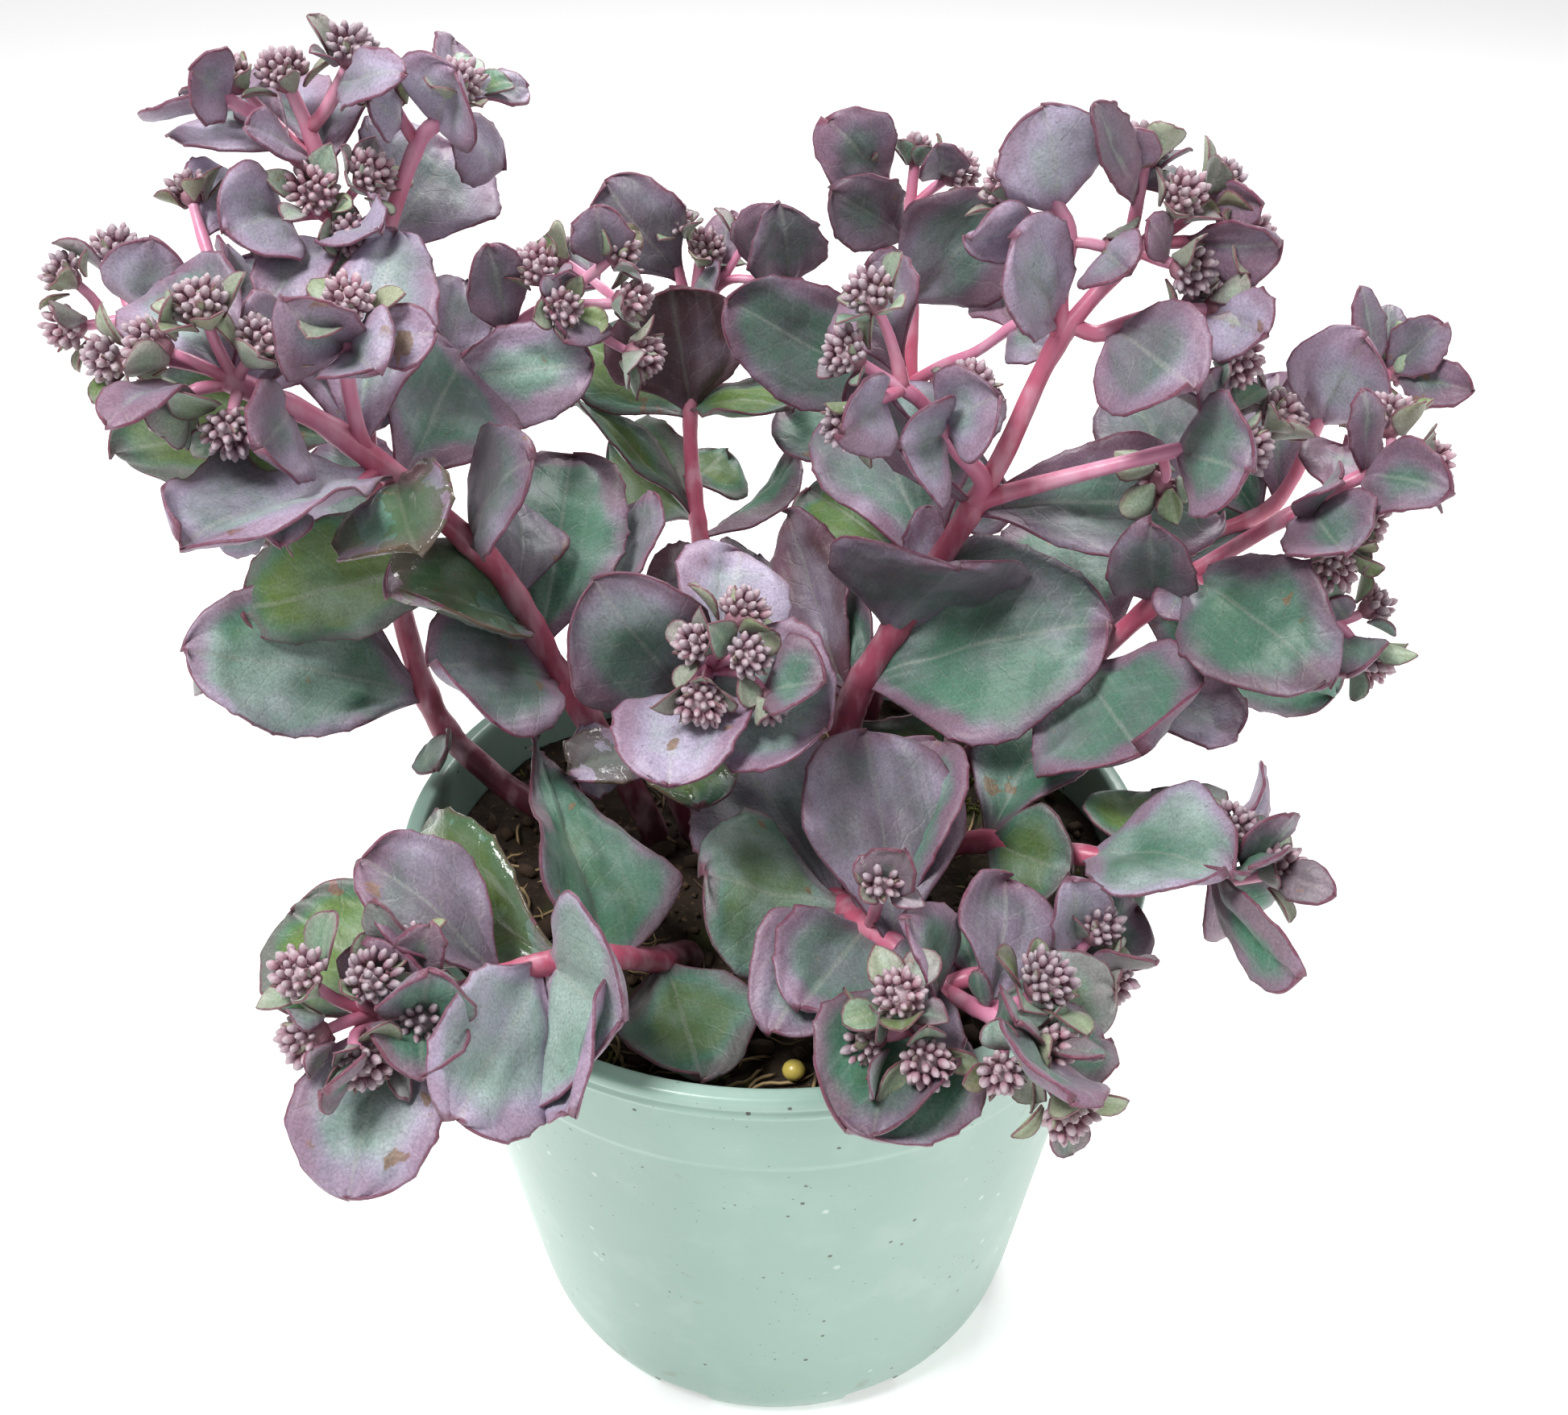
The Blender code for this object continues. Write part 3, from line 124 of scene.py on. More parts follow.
class Finish:
    """A material of coats of colour, with patterns on Object coordinates in metres."""

    def __init__(self, name, roughness, **sockets):
        self.material = bpy.data.materials.new(name)
        self.material.use_nodes = True
        self.nodes = self.material.node_tree.nodes
        self.links = self.material.node_tree.links
        self.shader = self.nodes["Principled BSDF"]
        self.coords = self.nodes.new("ShaderNodeTexCoord").outputs["Object"]
        self.colour = None
        self.fill(self.shader, {"Roughness": roughness})
        self.fill(self.shader, {name.replace("_", " "): value for name, value in sockets.items()})

    def fill(self, node, sockets):
        """A node's sockets take another's outputs, colours or numbers."""
        for name, value in sockets.items():
            socket = node.inputs[name]
            if isinstance(value, bpy.types.NodeSocket):
                self.links.new(value, socket)
            elif isinstance(value, tuple) and socket.type == "RGBA":
                socket.default_value = (*value, 1)
            else:
                socket.default_value = value
        return node

    def node(self, kind, sockets, **settings):
        """A new node of this kind, with its sockets and settings."""
        made = self.nodes.new("ShaderNode" + kind)
        for setting, value in settings.items():
            setattr(made, setting, value)
        return self.fill(made, sockets)

    def sum(self, operation, *values):
        """Arithmetic on one, two or three values."""
        return self.node("Math", dict(enumerate(values)), operation=operation).outputs[0]

    def plus(self, value, extra, share=1.0):
        """The value and a share of another one, added up."""
        return self.sum("MULTIPLY_ADD", extra, share, value)

    def attribute(self, name):
        """What a piece's vertices hold in the layer of this name."""
        return self.node("Attribute", {}, attribute_name=name).outputs["Fac"]

    def noise(self, place, scale, detail):
        """Soft noise between 0 and 1."""
        return self.node("TexNoise", {"Vector": place, "Scale": scale, "Detail": detail}).outputs["Fac"]

    def clouds(self, size, detail=3, stretch=(1, 1, 1)):
        """Noise whose blots are about this many millimetres wide."""
        place = self.node("Mapping", {"Vector": self.coords, "Scale": stretch})
        return self.noise(place.outputs[0], 1000 / size, detail)

    def streaks(self, across, along, wide, long):
        """Noise that runs along a blade, in streaks of this width and length."""
        taken = {"X": self.sum("DIVIDE", across, wide), "Y": self.sum("DIVIDE", along, long)}
        return self.noise(self.node("CombineXYZ", taken).outputs[0], 1, 3)

    def cells(self, size):
        """The distance to the nearest of many points that lie about this many millimetres apart."""
        return self.node("TexVoronoi", {"Vector": self.coords, "Scale": 1000 / size}).outputs["Distance"]

    def height(self):
        """Height above the floor, in millimetres."""
        return self.sum("MULTIPLY", self.node("SeparateXYZ", {"Vector": self.coords}).outputs["Z"], 1000.0)

    def step(self, value, low, high, first=0.0, last=1.0):
        """Goes smoothly from first to last as the value goes from low to high."""
        taken = dict(enumerate((value, low, high, first, last)))
        return self.node("MapRange", taken, interpolation_type="SMOOTHSTEP").outputs[0]

    def mix(self, share, first, last):
        """The first colour where share is 0 and the last where it is 1."""
        return self.node("Mix", {0: share, 6: first, 7: last}, data_type="RGBA").outputs[2]

    def coat(self, share, *colours):
        """Covers this share of the colour so far, or of the first of two colours, with the last one."""
        self.colour = self.mix(share, self.colour if len(colours) == 1 else colours[0], colours[-1])

    def shade(self, share):
        """Keeps this share of the colour's brightness."""
        self.colour = self.node("VectorMath", {0: self.colour, "Scale": share}, operation="SCALE").outputs[0]

    def bump(self, height, depth):
        """Relief of this depth in millimetres."""
        made = self.node("Bump", {"Distance": depth / 1000, "Height": height})
        self.fill(self.shader, {"Normal": made.outputs[0]})

    def paint(self, **sockets):
        """The finished material, in the colour of its coats, with patterns in its shader's other sockets."""
        self.fill(self.shader, {"Base Color": self.colour, **sockets})
        return self.material


def make_piece(shape, name, finish, nodes):
    """A smooth piece in metres from a shape in millimetres, which rides on the pot and stands for CAD nodes."""
    bmesh.ops.scale(shape, vec=(0.001, 0.001, 0.001), verts=shape.verts)
    piece = shaped(name, shape)
    piece.data.shade_smooth()
    piece.data.materials.append(finish)
    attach(piece, "root")
    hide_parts(*nodes)
    return piece


def softened(corners):
    """A profile of (radius, height) whose corners, each with its own rounding, are turned into short arcs."""
    profile = []
    for k, (radius, height, rounding) in enumerate(corners):
        here = Vector((radius, height))
        if rounding == 0:
            profile.append(here)
            continue
        before = Vector(corners[k - 1][:2]) - here
        after = Vector(corners[k + 1][:2]) - here
        start = here + before.normalized() * min(rounding, before.length / 2)
        end = here + after.normalized() * min(rounding, after.length / 2)
        for step in range(5):
            t = step / 4
            profile.append(start * (1 - t) ** 2 + here * 2 * t * (1 - t) + end * t**2)
    return profile


def turned(profile, sides):
    """A closed body turned round the pot's axis from a profile that begins and ends on the axis."""
    body = bmesh.new()
    line = [body.verts.new((point[0], 0, point[1])) for point in profile]
    edges = [body.edges.new(pair) for pair in zip(line, line[1:])]
    bmesh.ops.spin(
        body, geom=line + edges, axis=(0, 0, 1), cent=(0, 0, 0), angle=math.tau, steps=sides, use_merge=True
    )
    bmesh.ops.remove_doubles(body, verts=body.verts, dist=0.001)
    bmesh.ops.recalc_face_normals(body, faces=body.faces)
    return body


pot_profile = softened([
    (0, 4.2, 0), (56, 4.2, 2), (*WALL_FOOT, 4), (*WALL_TOP, 2), (78.1, 131, 1.5), (78.7, POT_HEIGHT, 1.2),
    (RIM_RADIUS, POT_HEIGHT, 1.5), (RIM_RADIUS, 130.2, 1.2), (81.5, 129.4, 0.6), (81.9, 127.6, 0.6),
    (81.1, 126.4, 0.8), (80.0, 125.6, 1), (77.6, 108.6, 1), (76.4, 107.2, 1.2), (61.9, 12, 4), (60.3, 5, 3),
    (57.5, 0, 1), (49, 0, 1), (48.2, 2.4, 0.5), (21.5, 2.4, 0.5), (20, 0, 0.8), (0, 0, 0),
])

slots_shape = bmesh.new()
for k in range(SLOT_COUNT):
    turn = Matrix.Rotation(math.tau * (k + 0.5) / SLOT_COUNT, 4, "Z")
    place = Matrix.Translation(SLOT_PLACE)
    bmesh.ops.create_cube(slots_shape, size=1, matrix=turn @ place @ Matrix.Diagonal((*SLOT_SIZE, 1)))
bmesh.ops.bevel(
    slots_shape, geom=slots_shape.edges[:], offset=1.2, segments=3, profile=0.5, affect="EDGES", material=-1
)
slots = shaped("slots", slots_shape)
uncut = shaped("uncut_pot", turned(pot_profile, POT_SIDES))
cutting = uncut.modifiers.new("slots", "BOOLEAN")
cutting.operation = "DIFFERENCE"
cutting.object = slots
pot_shape = bmesh.new()
pot_shape.from_mesh(uncut.evaluated_get(bpy.context.evaluated_depsgraph_get()).to_mesh())
bpy.data.objects.remove(slots)
bpy.data.objects.remove(uncut)

mint = Finish("mint_plastic", 0.3, Specular_IOR_Level=0.45)
mint.coat(mint.clouds(60, 2), (0.27, 0.41, 0.345), (0.315, 0.465, 0.40))
mint.coat(mint.step(mint.clouds(14, 6), 0.5, 0.75, 0, 0.3), (0.42, 0.56, 0.49))
splash = mint.step(mint.height(), 2, 26, 0.12, 0)
mint.coat(mint.step(mint.plus(mint.clouds(8, 6), splash), 0.68, 0.78, 0, 0.35), (0.20, 0.16, 0.09))
# Specks: how far apart, how wide their drifts are, where a drift begins, how strong they are, and their colour.
for apart, spread, least, share, colour in (
    (5.5, 14, 0.47, 0.95, (0.05, 0.05, 0.035)),
    (2.6, 19, 0.50, 0.75, (0.10, 0.10, 0.07)),
    (1.5, 25, 0.54, 0.5, (0.17, 0.18, 0.14)),
    (9, 31, 0.53, 0.6, (0.66, 0.76, 0.71)),
):
    specks = mint.step(mint.plus(mint.cells(apart), mint.clouds(1.2, 2), 0.08), 0.10, 0.15, 1, 0)
    specks = mint.sum("MULTIPLY", specks, mint.step(mint.clouds(spread, 2), least, least + 0.06, 0, share))
    mint.coat(specks, colour)
mint.bump(mint.plus(mint.clouds(2.5, 4), mint.clouds(30, 2), 4.0), 0.06)
pot = make_piece(pot_shape, "nursery_pot", mint.paint(), ["pot"])
pot.data.set_sharp_from_angle(angle=math.radians(50))


# Soil
# Dark, moist peat with bark fibre that fills the pot to a finger's breadth below its rim. Its top is
# crumbly, with thin dry roots and straw lying on it, and a little moss where the light reaches.
SOIL_LEVEL = 119
SOIL_RINGS, SOIL_EDGE = 75, 77
SOIL_SIDES = [(76.6, 116), (70, 75), (60, 13), (55.5, 4.6), (0, 4.6)]  # radius and height, down to its middle
LITTER_EDGE = 74
CRUMB_SIZES = (0.6, 0.8, 1.0, 1.3, 1.9, 2.6)
CRUMB_COUNT = 520
STRAW_COUNT = 170
STRAW_STEP = 1.7
dirt = random.Random("peat")


def soil_height(x, y):
    """Height of the soil's rough top, which sinks a little at the wall."""
    sunk = 1.2 * max(0.0, 1 - max(0.0, 76 - math.hypot(x, y)) / 12)
    return SOIL_LEVEL - sunk + 1.6 * noise.noise(Vector((x / 17, y / 17, 4.2)))


def wrapped(shape, rows, columns):
    """A grid whose points are given as (point, share of its height, share of its width), to be wrapped."""
    grid = bmesh.ops.create_grid(shape, x_segments=columns, y_segments=rows, size=1)["verts"]
    return [(vert, (vert.co.y + 1) / 2, (vert.co.x + 1) / 2) for vert in grid]


def closed_up(shape, points):
    """Merges the points of a wrapped grid where its sides and its ends meet."""
    bmesh.ops.remove_doubles(shape, verts=[vert for vert, _, _ in points], dist=0.0005)


soil_shape = bmesh.new()
soil_rows = SOIL_RINGS + len(SOIL_SIDES) - 1
points = wrapped(soil_shape, soil_rows, 220)
for vert, down, around in points:
    row = round(down * soil_rows)
    is_top = row < SOIL_RINGS
    radius, height = (row / (SOIL_RINGS - 1) * SOIL_EDGE, 0) if is_top else SOIL_SIDES[row - SOIL_RINGS]
    angle = around * math.tau
    x, y = radius * math.cos(angle), radius * math.sin(angle)
    if is_top:
        rough = noise.fractal(Vector((x / 5, y / 5, 1.7)), 0.9, 2.1, 4)
        height = soil_height(x, y) + min(1.1, 0.9 * rough) - 0.3
    vert.co = (x, y, height)
closed_up(soil_shape, points)
bmesh.ops.recalc_face_normals(soil_shape, faces=soil_shape.faces)

peat = Finish("peat", 0.9, Specular_IOR_Level=0.25)
peat.coat(peat.clouds(3, 6), (0.012, 0.009, 0.007), (0.055, 0.035, 0.022))
peat.coat(peat.step(peat.clouds(1.6, 4), 0.6, 0.72), (0.12, 0.075, 0.04))
peat.coat(peat.step(peat.clouds(22, 3), 0.56, 0.68, 0, 0.75), (0.05, 0.06, 0.018))
peat.bump(peat.clouds(1.2, 6), 0.6)
make_piece(soil_shape, "peat", peat.paint(), ["soil"])


def on_soil(edge=LITTER_EDGE):
    """A place on the soil, drawn evenly over its top."""
    radius = edge * math.sqrt(dirt.random())
    angle = dirt.uniform(0, math.tau)
    x, y = radius * math.cos(angle), radius * math.sin(angle)
    return Vector((x, y, soil_height(x, y)))


crumbs_shape = bmesh.new()
for _ in range(CRUMB_COUNT):
    size = dirt.choice(CRUMB_SIZES)
    place = Matrix.Translation(on_soil() + Vector((0, 0, 0.3 * size)))
    turn = Matrix.Rotation(dirt.uniform(0, 6.28), 4, Vector((dirt.random(), dirt.random(), 1)))
    stretch = Matrix.Diagonal((size * dirt.uniform(0.7, 1.5), size, size * dirt.uniform(0.5, 0.8), 1))
    crumb = bmesh.ops.create_icosphere(crumbs_shape, subdivisions=1, radius=1, matrix=place @ turn @ stretch)
    for vert in crumb["verts"]:
        vert.co += Vector([dirt.uniform(-0.25, 0.25) * size for _ in range(3)])
bark = Finish("bark_crumb", 0.85)
bark.coat(bark.clouds(8, 2), (0.02, 0.013, 0.009), (0.10, 0.055, 0.028))
bark.bump(bark.clouds(0.8, 4), 0.3)
make_piece(crumbs_shape, "crumbs", bark.paint(), ["soil"])


def path_lengths(path):
    """The distance along a path from its start to each of its points."""
    lengths = [0.0]
    for a, b in zip(path, path[1:]):
        lengths.append(lengths[-1] + (b - a).length)
    return lengths


def add_tube(shape, path, radii, sides, **layers):
    """Adds a closed round tube along a path, with a value in each named layer at each of its rows."""
    ahead = [(b - a).normalized() for a, b in zip(path, path[1:])]
    ahead = [ahead[0]] + [(a + b).normalized() for a, b in zip(ahead, ahead[1:])] + [ahead[-1]]
    across = [ahead[0].orthogonal().normalized()]
    for direction in ahead[1:]:
        across.append((across[-1] - direction * across[-1].dot(direction)).normalized())
    points = wrapped(shape, len(path) - 1, sides)
    for vert, along, around in points:
        row = round(along * (len(path) - 1))
        out = Matrix.Rotation(math.tau * around, 3, ahead[row]) @ across[row]
        vert.co = path[row] + out * radii[row]
        for name, values in layers.items():
            vert[shape.verts.layers.float[name]] = values[row]
    closed_up(shape, points)


fibres_shape = bmesh.new()
for _ in range(STRAW_COUNT):
    start = on_soil(72) + Vector((0, 0, 0.6))
    heading = dirt.uniform(0, math.tau)
    bend = dirt.uniform(-0.5, 0.5)
    path = [start]
    for _ in range(dirt.randint(5, 11)):
        heading += bend * dirt.uniform(0.2, 1)
        step = Vector((math.cos(heading), math.sin(heading), 0)) * STRAW_STEP
        place = path[-1] + step
        if math.hypot(place.x, place.y) < LITTER_EDGE:
            path.append(Vector((place.x, place.y, soil_height(*place.xy) + 0.5 + dirt.uniform(0, 0.9))))
    if len(path) > 3:
        thick = dirt.uniform(0.15, 0.42)
        add_tube(fibres_shape, path, [0.0] + [thick] * (len(path) - 2) + [0.0], 5)
bmesh.ops.recalc_face_normals(fibres_shape, faces=fibres_shape.faces)
straw = Finish("straw", 0.7)
straw.coat(straw.step(straw.clouds(14, 2), 0.4, 0.6), (0.06, 0.035, 0.02), (0.36, 0.25, 0.12))
make_piece(fibres_shape, "straw", straw.paint(), ["soil"])

# Tufts of moss: their place, and how many shoots they have.
moss_shape = bmesh.new()
for x, y, count in ((52, 25, 60), (46, 38, 40), (-14, -72, 40), (-34, -62, 24), (58, 6, 40), (-58, 30, 20)):
    for _ in range(count):
        spot = (x + dirt.gauss(0, 4.5), y + dirt.gauss(0, 4))
        if math.hypot(*spot) > 75.5:
            continue
        foot = Vector((*spot, soil_height(*spot) + 0.2))
        lean = Vector((dirt.uniform(-1, 1), dirt.uniform(-1, 1), dirt.uniform(0.6, 1.6))).normalized()
        long = dirt.uniform(1.2, 2.8)
        turn = lean.to_track_quat("Z", "Y").to_matrix().to_4x4()
        place = Matrix.Translation(foot + lean * long / 2) @ turn
        bmesh.ops.create_cone(
            moss_shape, cap_ends=True, segments=5, radius1=0.55, radius2=0.05, depth=long, matrix=place
        )
moss = Finish("moss", 0.8)
moss.coat(moss.clouds(5, 3), (0.07, 0.09, 0.015), (0.24, 0.22, 0.05))
make_piece(moss_shape, "moss", moss.paint(), ["soil"])


# Feed grain
# One round prill of slow-release feed, with a smooth yellow resin coat that has darkened on one side.
grain_low, grain_high = (Vector(corner) * 1000 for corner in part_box("feed_grain"))
grain_shape = bmesh.new()
bmesh.ops.create_uvsphere(
    grain_shape, u_segments=32, v_segments=20, radius=2.2,
    matrix=Matrix.Translation((grain_low + grain_high) / 2) @ Matrix.Diagonal((1.05, 1, 0.95, 1)),
)
resin = Finish("feed_resin", 0.28)
resin.coat(resin.clouds(3, 2), (0.42, 0.30, 0.04), (0.75, 0.62, 0.16))
resin.bump(resin.clouds(1, 3), 0.08)
make_piece(grain_shape, "feed_prill", resin.paint(), ["feed_grain"])


# Stems
# Eleven fleshy canes as thick as a pencil stand in the peat, maroon at the foot and rose-pink above, with a
# pale wax bloom. Each forks into thin twigs near its top, and is a little swollen where leaves and twigs join.
#
# A stem's text lists its canes and then its leaves. A cane: its name, the cane it grows from, where on that one
# it starts (0 is its foot and 1 its tip) or its place in the soil, the radii of its foot, its tip and its bud
# head, or 0, and after the colon its further points. A leaf: its cane, where on it, heading and rise of its
# axis, length, width, roll, its cup where that is unusual, and its marks: m mauve, t teal, g green, r maroon,
# d darkened with painted shade, l and p a light and a heavy bloom of wax, w wet, b scarred, h shaped like a
# horn.
STEMS = {
    "left": """
    main soil -28,12 3.4 2 0: -41,14,151 -48,13,166 -54,10,185 -61,8,199 -84,2,228 -101,-6,243
    up main 0.8 1.6 1.4 5.6: -80,2,229 -80,0,240 -78,-2,250 -77,-3,256
    side main 0.78 1.3 1.2 4.5: -81,-2,219 -87,-6,219 -94,-9,217 -96,-10,215
    t1 main 1 1.2 1 5.6: -101,-7,250 -102.1,-7.6,257.5
    t2 main 1 1.2 1 5.6: -105,-8,247 -111.7,-9.1,250.7
    t3 main 0.99 1.2 1 5.6: -106,-9,242 -109.8,-10.2,239.1
    t4 main 0.98 1.2 1 5.6: -98,-6,244 -93.2,-6.9,249.8
    t5 main 0.98 1.2 1 5.6: -99,-8,240 -99.1,-14.8,237.1
    t6 main 0.98 1.2 1 5: -106,0,242 -115,0,244 -122,-5,246
    main 0.92 -90 5 22 20 -110 m; main 0.85 175 -5 44 26 95 g; main 0.77 -125 5 50 30 -30 0.25 ml
    main 0.76 -70 -5 30 26 5 tw; main 0.75 80 15 38 36 70 tm; main 0.63 -45 50 34 28 35 md
    main 0.6 180 -15 54 27 100 g; main 0.44 85 25 50 33 25 t; main 0.47 -130 35 42 28 -35 0.3 tw
    main 0.38 -125 30 44 32 -50 tm; main 0.32 64 39 50 22 -5 m; main 0.3 -75 -29 20 13 -20 ml
    main 0.52 95 20 26 20 50 md; main 0.99 128 22 30 24 20 ml; main 0.99 72 15 20 19 100 ml
    main 0.96 18 47 20.3 9.4 165 ml; up 0.73 -117 43 19 17 -115 0.25 m; up 0.73 -59 4 15 18 40 0.25 ml
    up 0.76 -2 7 17 12 50 0.25 ml; main 0.82 85 30 50 24 30 ml; main 0.83 111 9 34 30 65 ml
    side 0.93 -115 11 17 11 165 0.2 tp; t3 0.62 -115 12 22 12 -90; side 0.92 -75 0 13 12 -100 0.2
    """,
    "tall": """
    main soil -50,15 3.3 1.4 5.6: -66,20,132 -80,26,151 -89,42,202 -90,53,242 -95,59,266 -99.2,59.8,280.1
    l1 main 0.89 1.6 1.2 0: -98,57,263 -103,56,271 -109,55,276 -111,55,277
    l2 main 0.9 1.3 1 5.6: -104,62,271 -110.8,62.2,278.9
    r1 main 0.94 1.5 1.1 5.6: -91,59,274 -86,59,282 -85,59,285
    m1 main 0.85 1.4 1.1 5.6: -97,55,253 -103,53,253 -107,52,255
    m2 main 0.84 1.2 1 5.6: -95,53,254 -94.2,48.7,259.6
    m3 main 0.85 1.2 1 5.6: -87,54,258 -83.5,53.8,261.3
    m4 main 0.81 1.2 1 5: -90,50,249 -87.4,46.3,251
    b main 0.76 2.2 1.3 5.6: -84,54,244 -73,58,267 -65,57,273 -63,56,279
    b2 b 0.67 1.3 1 4.5: -76,59,271 -78,60,276
    s14 main 0.64 2.2 1 5: -95,40,225 -112,32,240 -137,24,241 -139.2,22,241.5
    s15 s14 0.89 1.1 1 4.5: -135,27,245 -139.3,27,250.3
    s16 s14 0.81 1.2 1 5.6: -130,30,246 -130.6,33,252.4
    s17 s14 0.54 1.4 1.1 4.5: -116,44,246 -119,50,252 -121,54,258
    s3 main 0.62 2.4 1.2 5.6: -81,46,214 -54,52,230 -47,52,233 -31,52.5,234.4
    c1 s3 0.7 1.2 1 5.6: -48,50,238 -49.8,49.4,242.9
    c2 s3 0.78 1.3 1 5: -43,52,237 -37,52,242 -32.2,52,245.6
    c3 s3 0.78 1.2 1 5.6: -38,49,229 -33,48,226 -28.8,47.5,224
    c4 s3 0.74 1 0.9 4.5: -46,49,234 -43.9,43.2,236.5
    main 0.3 -151 29 56 35 -70 ttgl; main 0.3 170 -5 56 18 -5 gl; main 0.25 -85 0 16 12 25 gdl
    main 0.47 125 35 30 24 -25 tml; l1 0.94 -105 35 17 15 -155 ml; l1 0.39 134 -1 34 26 -10 ml
    l1 0.88 169 -14 22 10 35 ml; main 0.93 120 5 26 22 -10 ml; l2 0.09 -120 30 22 10 -90 ml
    r1 0.54 -47 18 28 12 80 ml; main 0.9 90 20 24 20 0 ml; m1 0.61 -110 10 22 22 -115 0.2 ml
    m4 0.42 -51 21 20 16 -5 0.2 ml; m4 0.42 -121 -11 24 16 5 ml; b 0.22 69 19 36 34 20 ml
    b 0.78 -50 45 20 22 170 ml; b 0.8 90 30 22 12 10 ml; b 0.85 55 -43 22 14 -135 ml; b 0.95 50 -10 18 10 25 ml
    b2 0.39 -121 36 13.2 11.2 -110 ml; s14 0.23 130 20 36 30 20 ml; s14 0.76 -55 60 22 16 95 ml
    s14 0.5 107 25 22 14 95 ml; s17 0.7 85 20 22 18 55 ml; s3 0.29 75 35 26 17 -5 ml; s3 0.31 -9 9 34 22 90 tml
    s3 0.31 50 -25 30 24 25 tml; s3 0.58 -108 73 24 14 -85; c2 0.74 -90 70 15 13 -105; s3 0.85 -100 -5 14 16 30
    """,
    "middle": """
    main soil -8,42 2.9 1.4 5.6: -11,62,141 -17,80,149 -21,98,176 -20,106,199 -18,110,221 -16.2,110.1,224.5
    a1 main 0.87 1.4 1 4.5: -23,108,220 -23,108,228 -22.9,107.4,232.3
    a2 a1 0.58 1.2 1 4.5: -26,112,226 -29.4,114.4,233.1
    a3 main 0.88 1.3 1 5.6: -11,109,220 -5.3,109.8,229
    a4 main 0.9 1.3 1 5: -11,108,218 -4,106,219 0.8,103.2,222.2
    a5 main 0.81 1.5 1 5.6: -33,116,204 -45,122,212 -55,126,218
    main 0.73 -130 80 36 34 -150 dr; main 0.72 145 15 42 30 -40 g; main 0.54 140 20 34 30 100 g
    main 0.54 160 37 42 14 -25 gd; main 0.73 -30 10 30 24 20 g; main 0.5 45 15 36 20 175 gm
    main 0.4 -125 30 28 22 -95 dr; main 0.34 70 10 26 22 90 dm; main 0.6 70 -5 24 22 -150 g
    a1 0.48 -160 55 30 24 -105 m; a3 0.39 79 39 22 10 -35; a4 0.84 -75 65 24 19 -115 m
    main 0.95 -65 5 11.2 12.5 60; a5 0.73 110 15 18 16 15; a5 0.72 150 -24 20 14 -10
    """,
    "right": """
    main soil 15,20 3.9 1.4 5.6: 18,25,148 32,26,177 47,24,209 59,28,237 79,34,259 80.7,33.2,263
    f1 main 0.56 2.2 1.6 0: 44,22,207 38,20,215 34,18,222
    f2 f1 1 1.7 1.1 5.6: 29,17,228 21,15,234 14.9,13.9,238.7
    f5 f1 0.9 1.4 1.1 5.6: 37,20,222 40.1,20.4,229
    f3 f2 0.5 1.4 1 5.6: 23,17,241 19.1,17.1,249.3
    f4 f2 0.5 1.3 1 5.6: 20,11,230 15,8,227
    r1 main 0.56 2.1 1.2 5.6: 49,22,204 82,14,218 88,14,219 95.1,12.7,218.8
    r2 r1 0.71 1.2 1 5: 81,16,211 80.2,18.6,207.7
    r3 r1 0.75 1.2 1 5.6: 92,20,214 100,22,217 104,22,221
    r4 r1 0.85 1.2 1 5.6: 90,18,220 91.9,22.5,224.6
    u main 0.79 2 1.3 0: 58,30,244 59,32,256 56,32,262 54,33,265
    u1 u 0.74 1.3 1 5.6: 52,32,259 48,33,262 46,34,265
    u2 u 0.61 1.2 1 4: 62,31,255 67.9,30.6,253.7
    u3 u 0.92 1.1 1 4.5: 57,36,267 60,38,272
    g1 main 0.81 1.8 1.2 6.2: 66,28,237 72,27,240 79,27,242 90.8,28.6,242.1
    g2 main 0.92 1.3 1.1 5.6: 82.2,26.9,250.9
    g3 main 0.9 1.4 1 5.6: 72,34,259 73,36,266 74.1,38.7,271
    g4 main 0.91 1.3 1 5.6: 85,39,258 90.1,40.3,263.2
    g5 main 0.93 1.3 1 5.6: 87,37,253 93,35,252 95.1,33.8,254.8
    g6 g1 0.7 1.2 1 5.6: 86,23,237 92.2,18.2,235.6
    main 0.28 -15 25 56 46 50 tm; main 0.36 -57 52 34 46 3 0.2 md; main 0.46 107 25 50 38 -35 tm
    main 0.4 60 70 22 9 -30 mp; main 0.56 -170 55 42 16 -130 m; main 0.56 7 -4 56 30 30 0.3 m
    main 0.23 105 35 48 22 -60 dr; main 0.25 95 20 30 22 -55 td; main 0.2 25 -35 30 20 75 gd
    f1 0.9 -131 9 17 22 -90 0.3 ml; f1 0.9 -49 44 18 20 55 0.3 ml; f3 0.21 95 20 28 22 -30 m
    f4 0.34 -119 1 20 16 -110 0.2 ml; r1 0.77 -70 15 26 25 125 m; r4 0.29 -135 68 18 10.8 -95
    u 0.86 -125 65 24 21 175 0.05 ml; u 0.1 -145 50 28 24 -85 ml; u1 0.5 -140 1 18 13 -135 ml
    u2 0.81 -80 0 15 15 130 m; g1 0.29 -70 0 31 25 80 m; g1 0.91 -60 0 18 16 110 ml; g1 0.72 54 0 18 14 15
    g2 0.57 -145 55 11.9 9.9 -15; g3 0.52 -140 50 30 10 -90; g3 0.7 62 -7 15 12 50; g4 0.83 -48 13 13.5 10.8 130
    g5 0.4 -34 11 20 15 180; g3 0.8 -130 50 13 9 -135
    """,
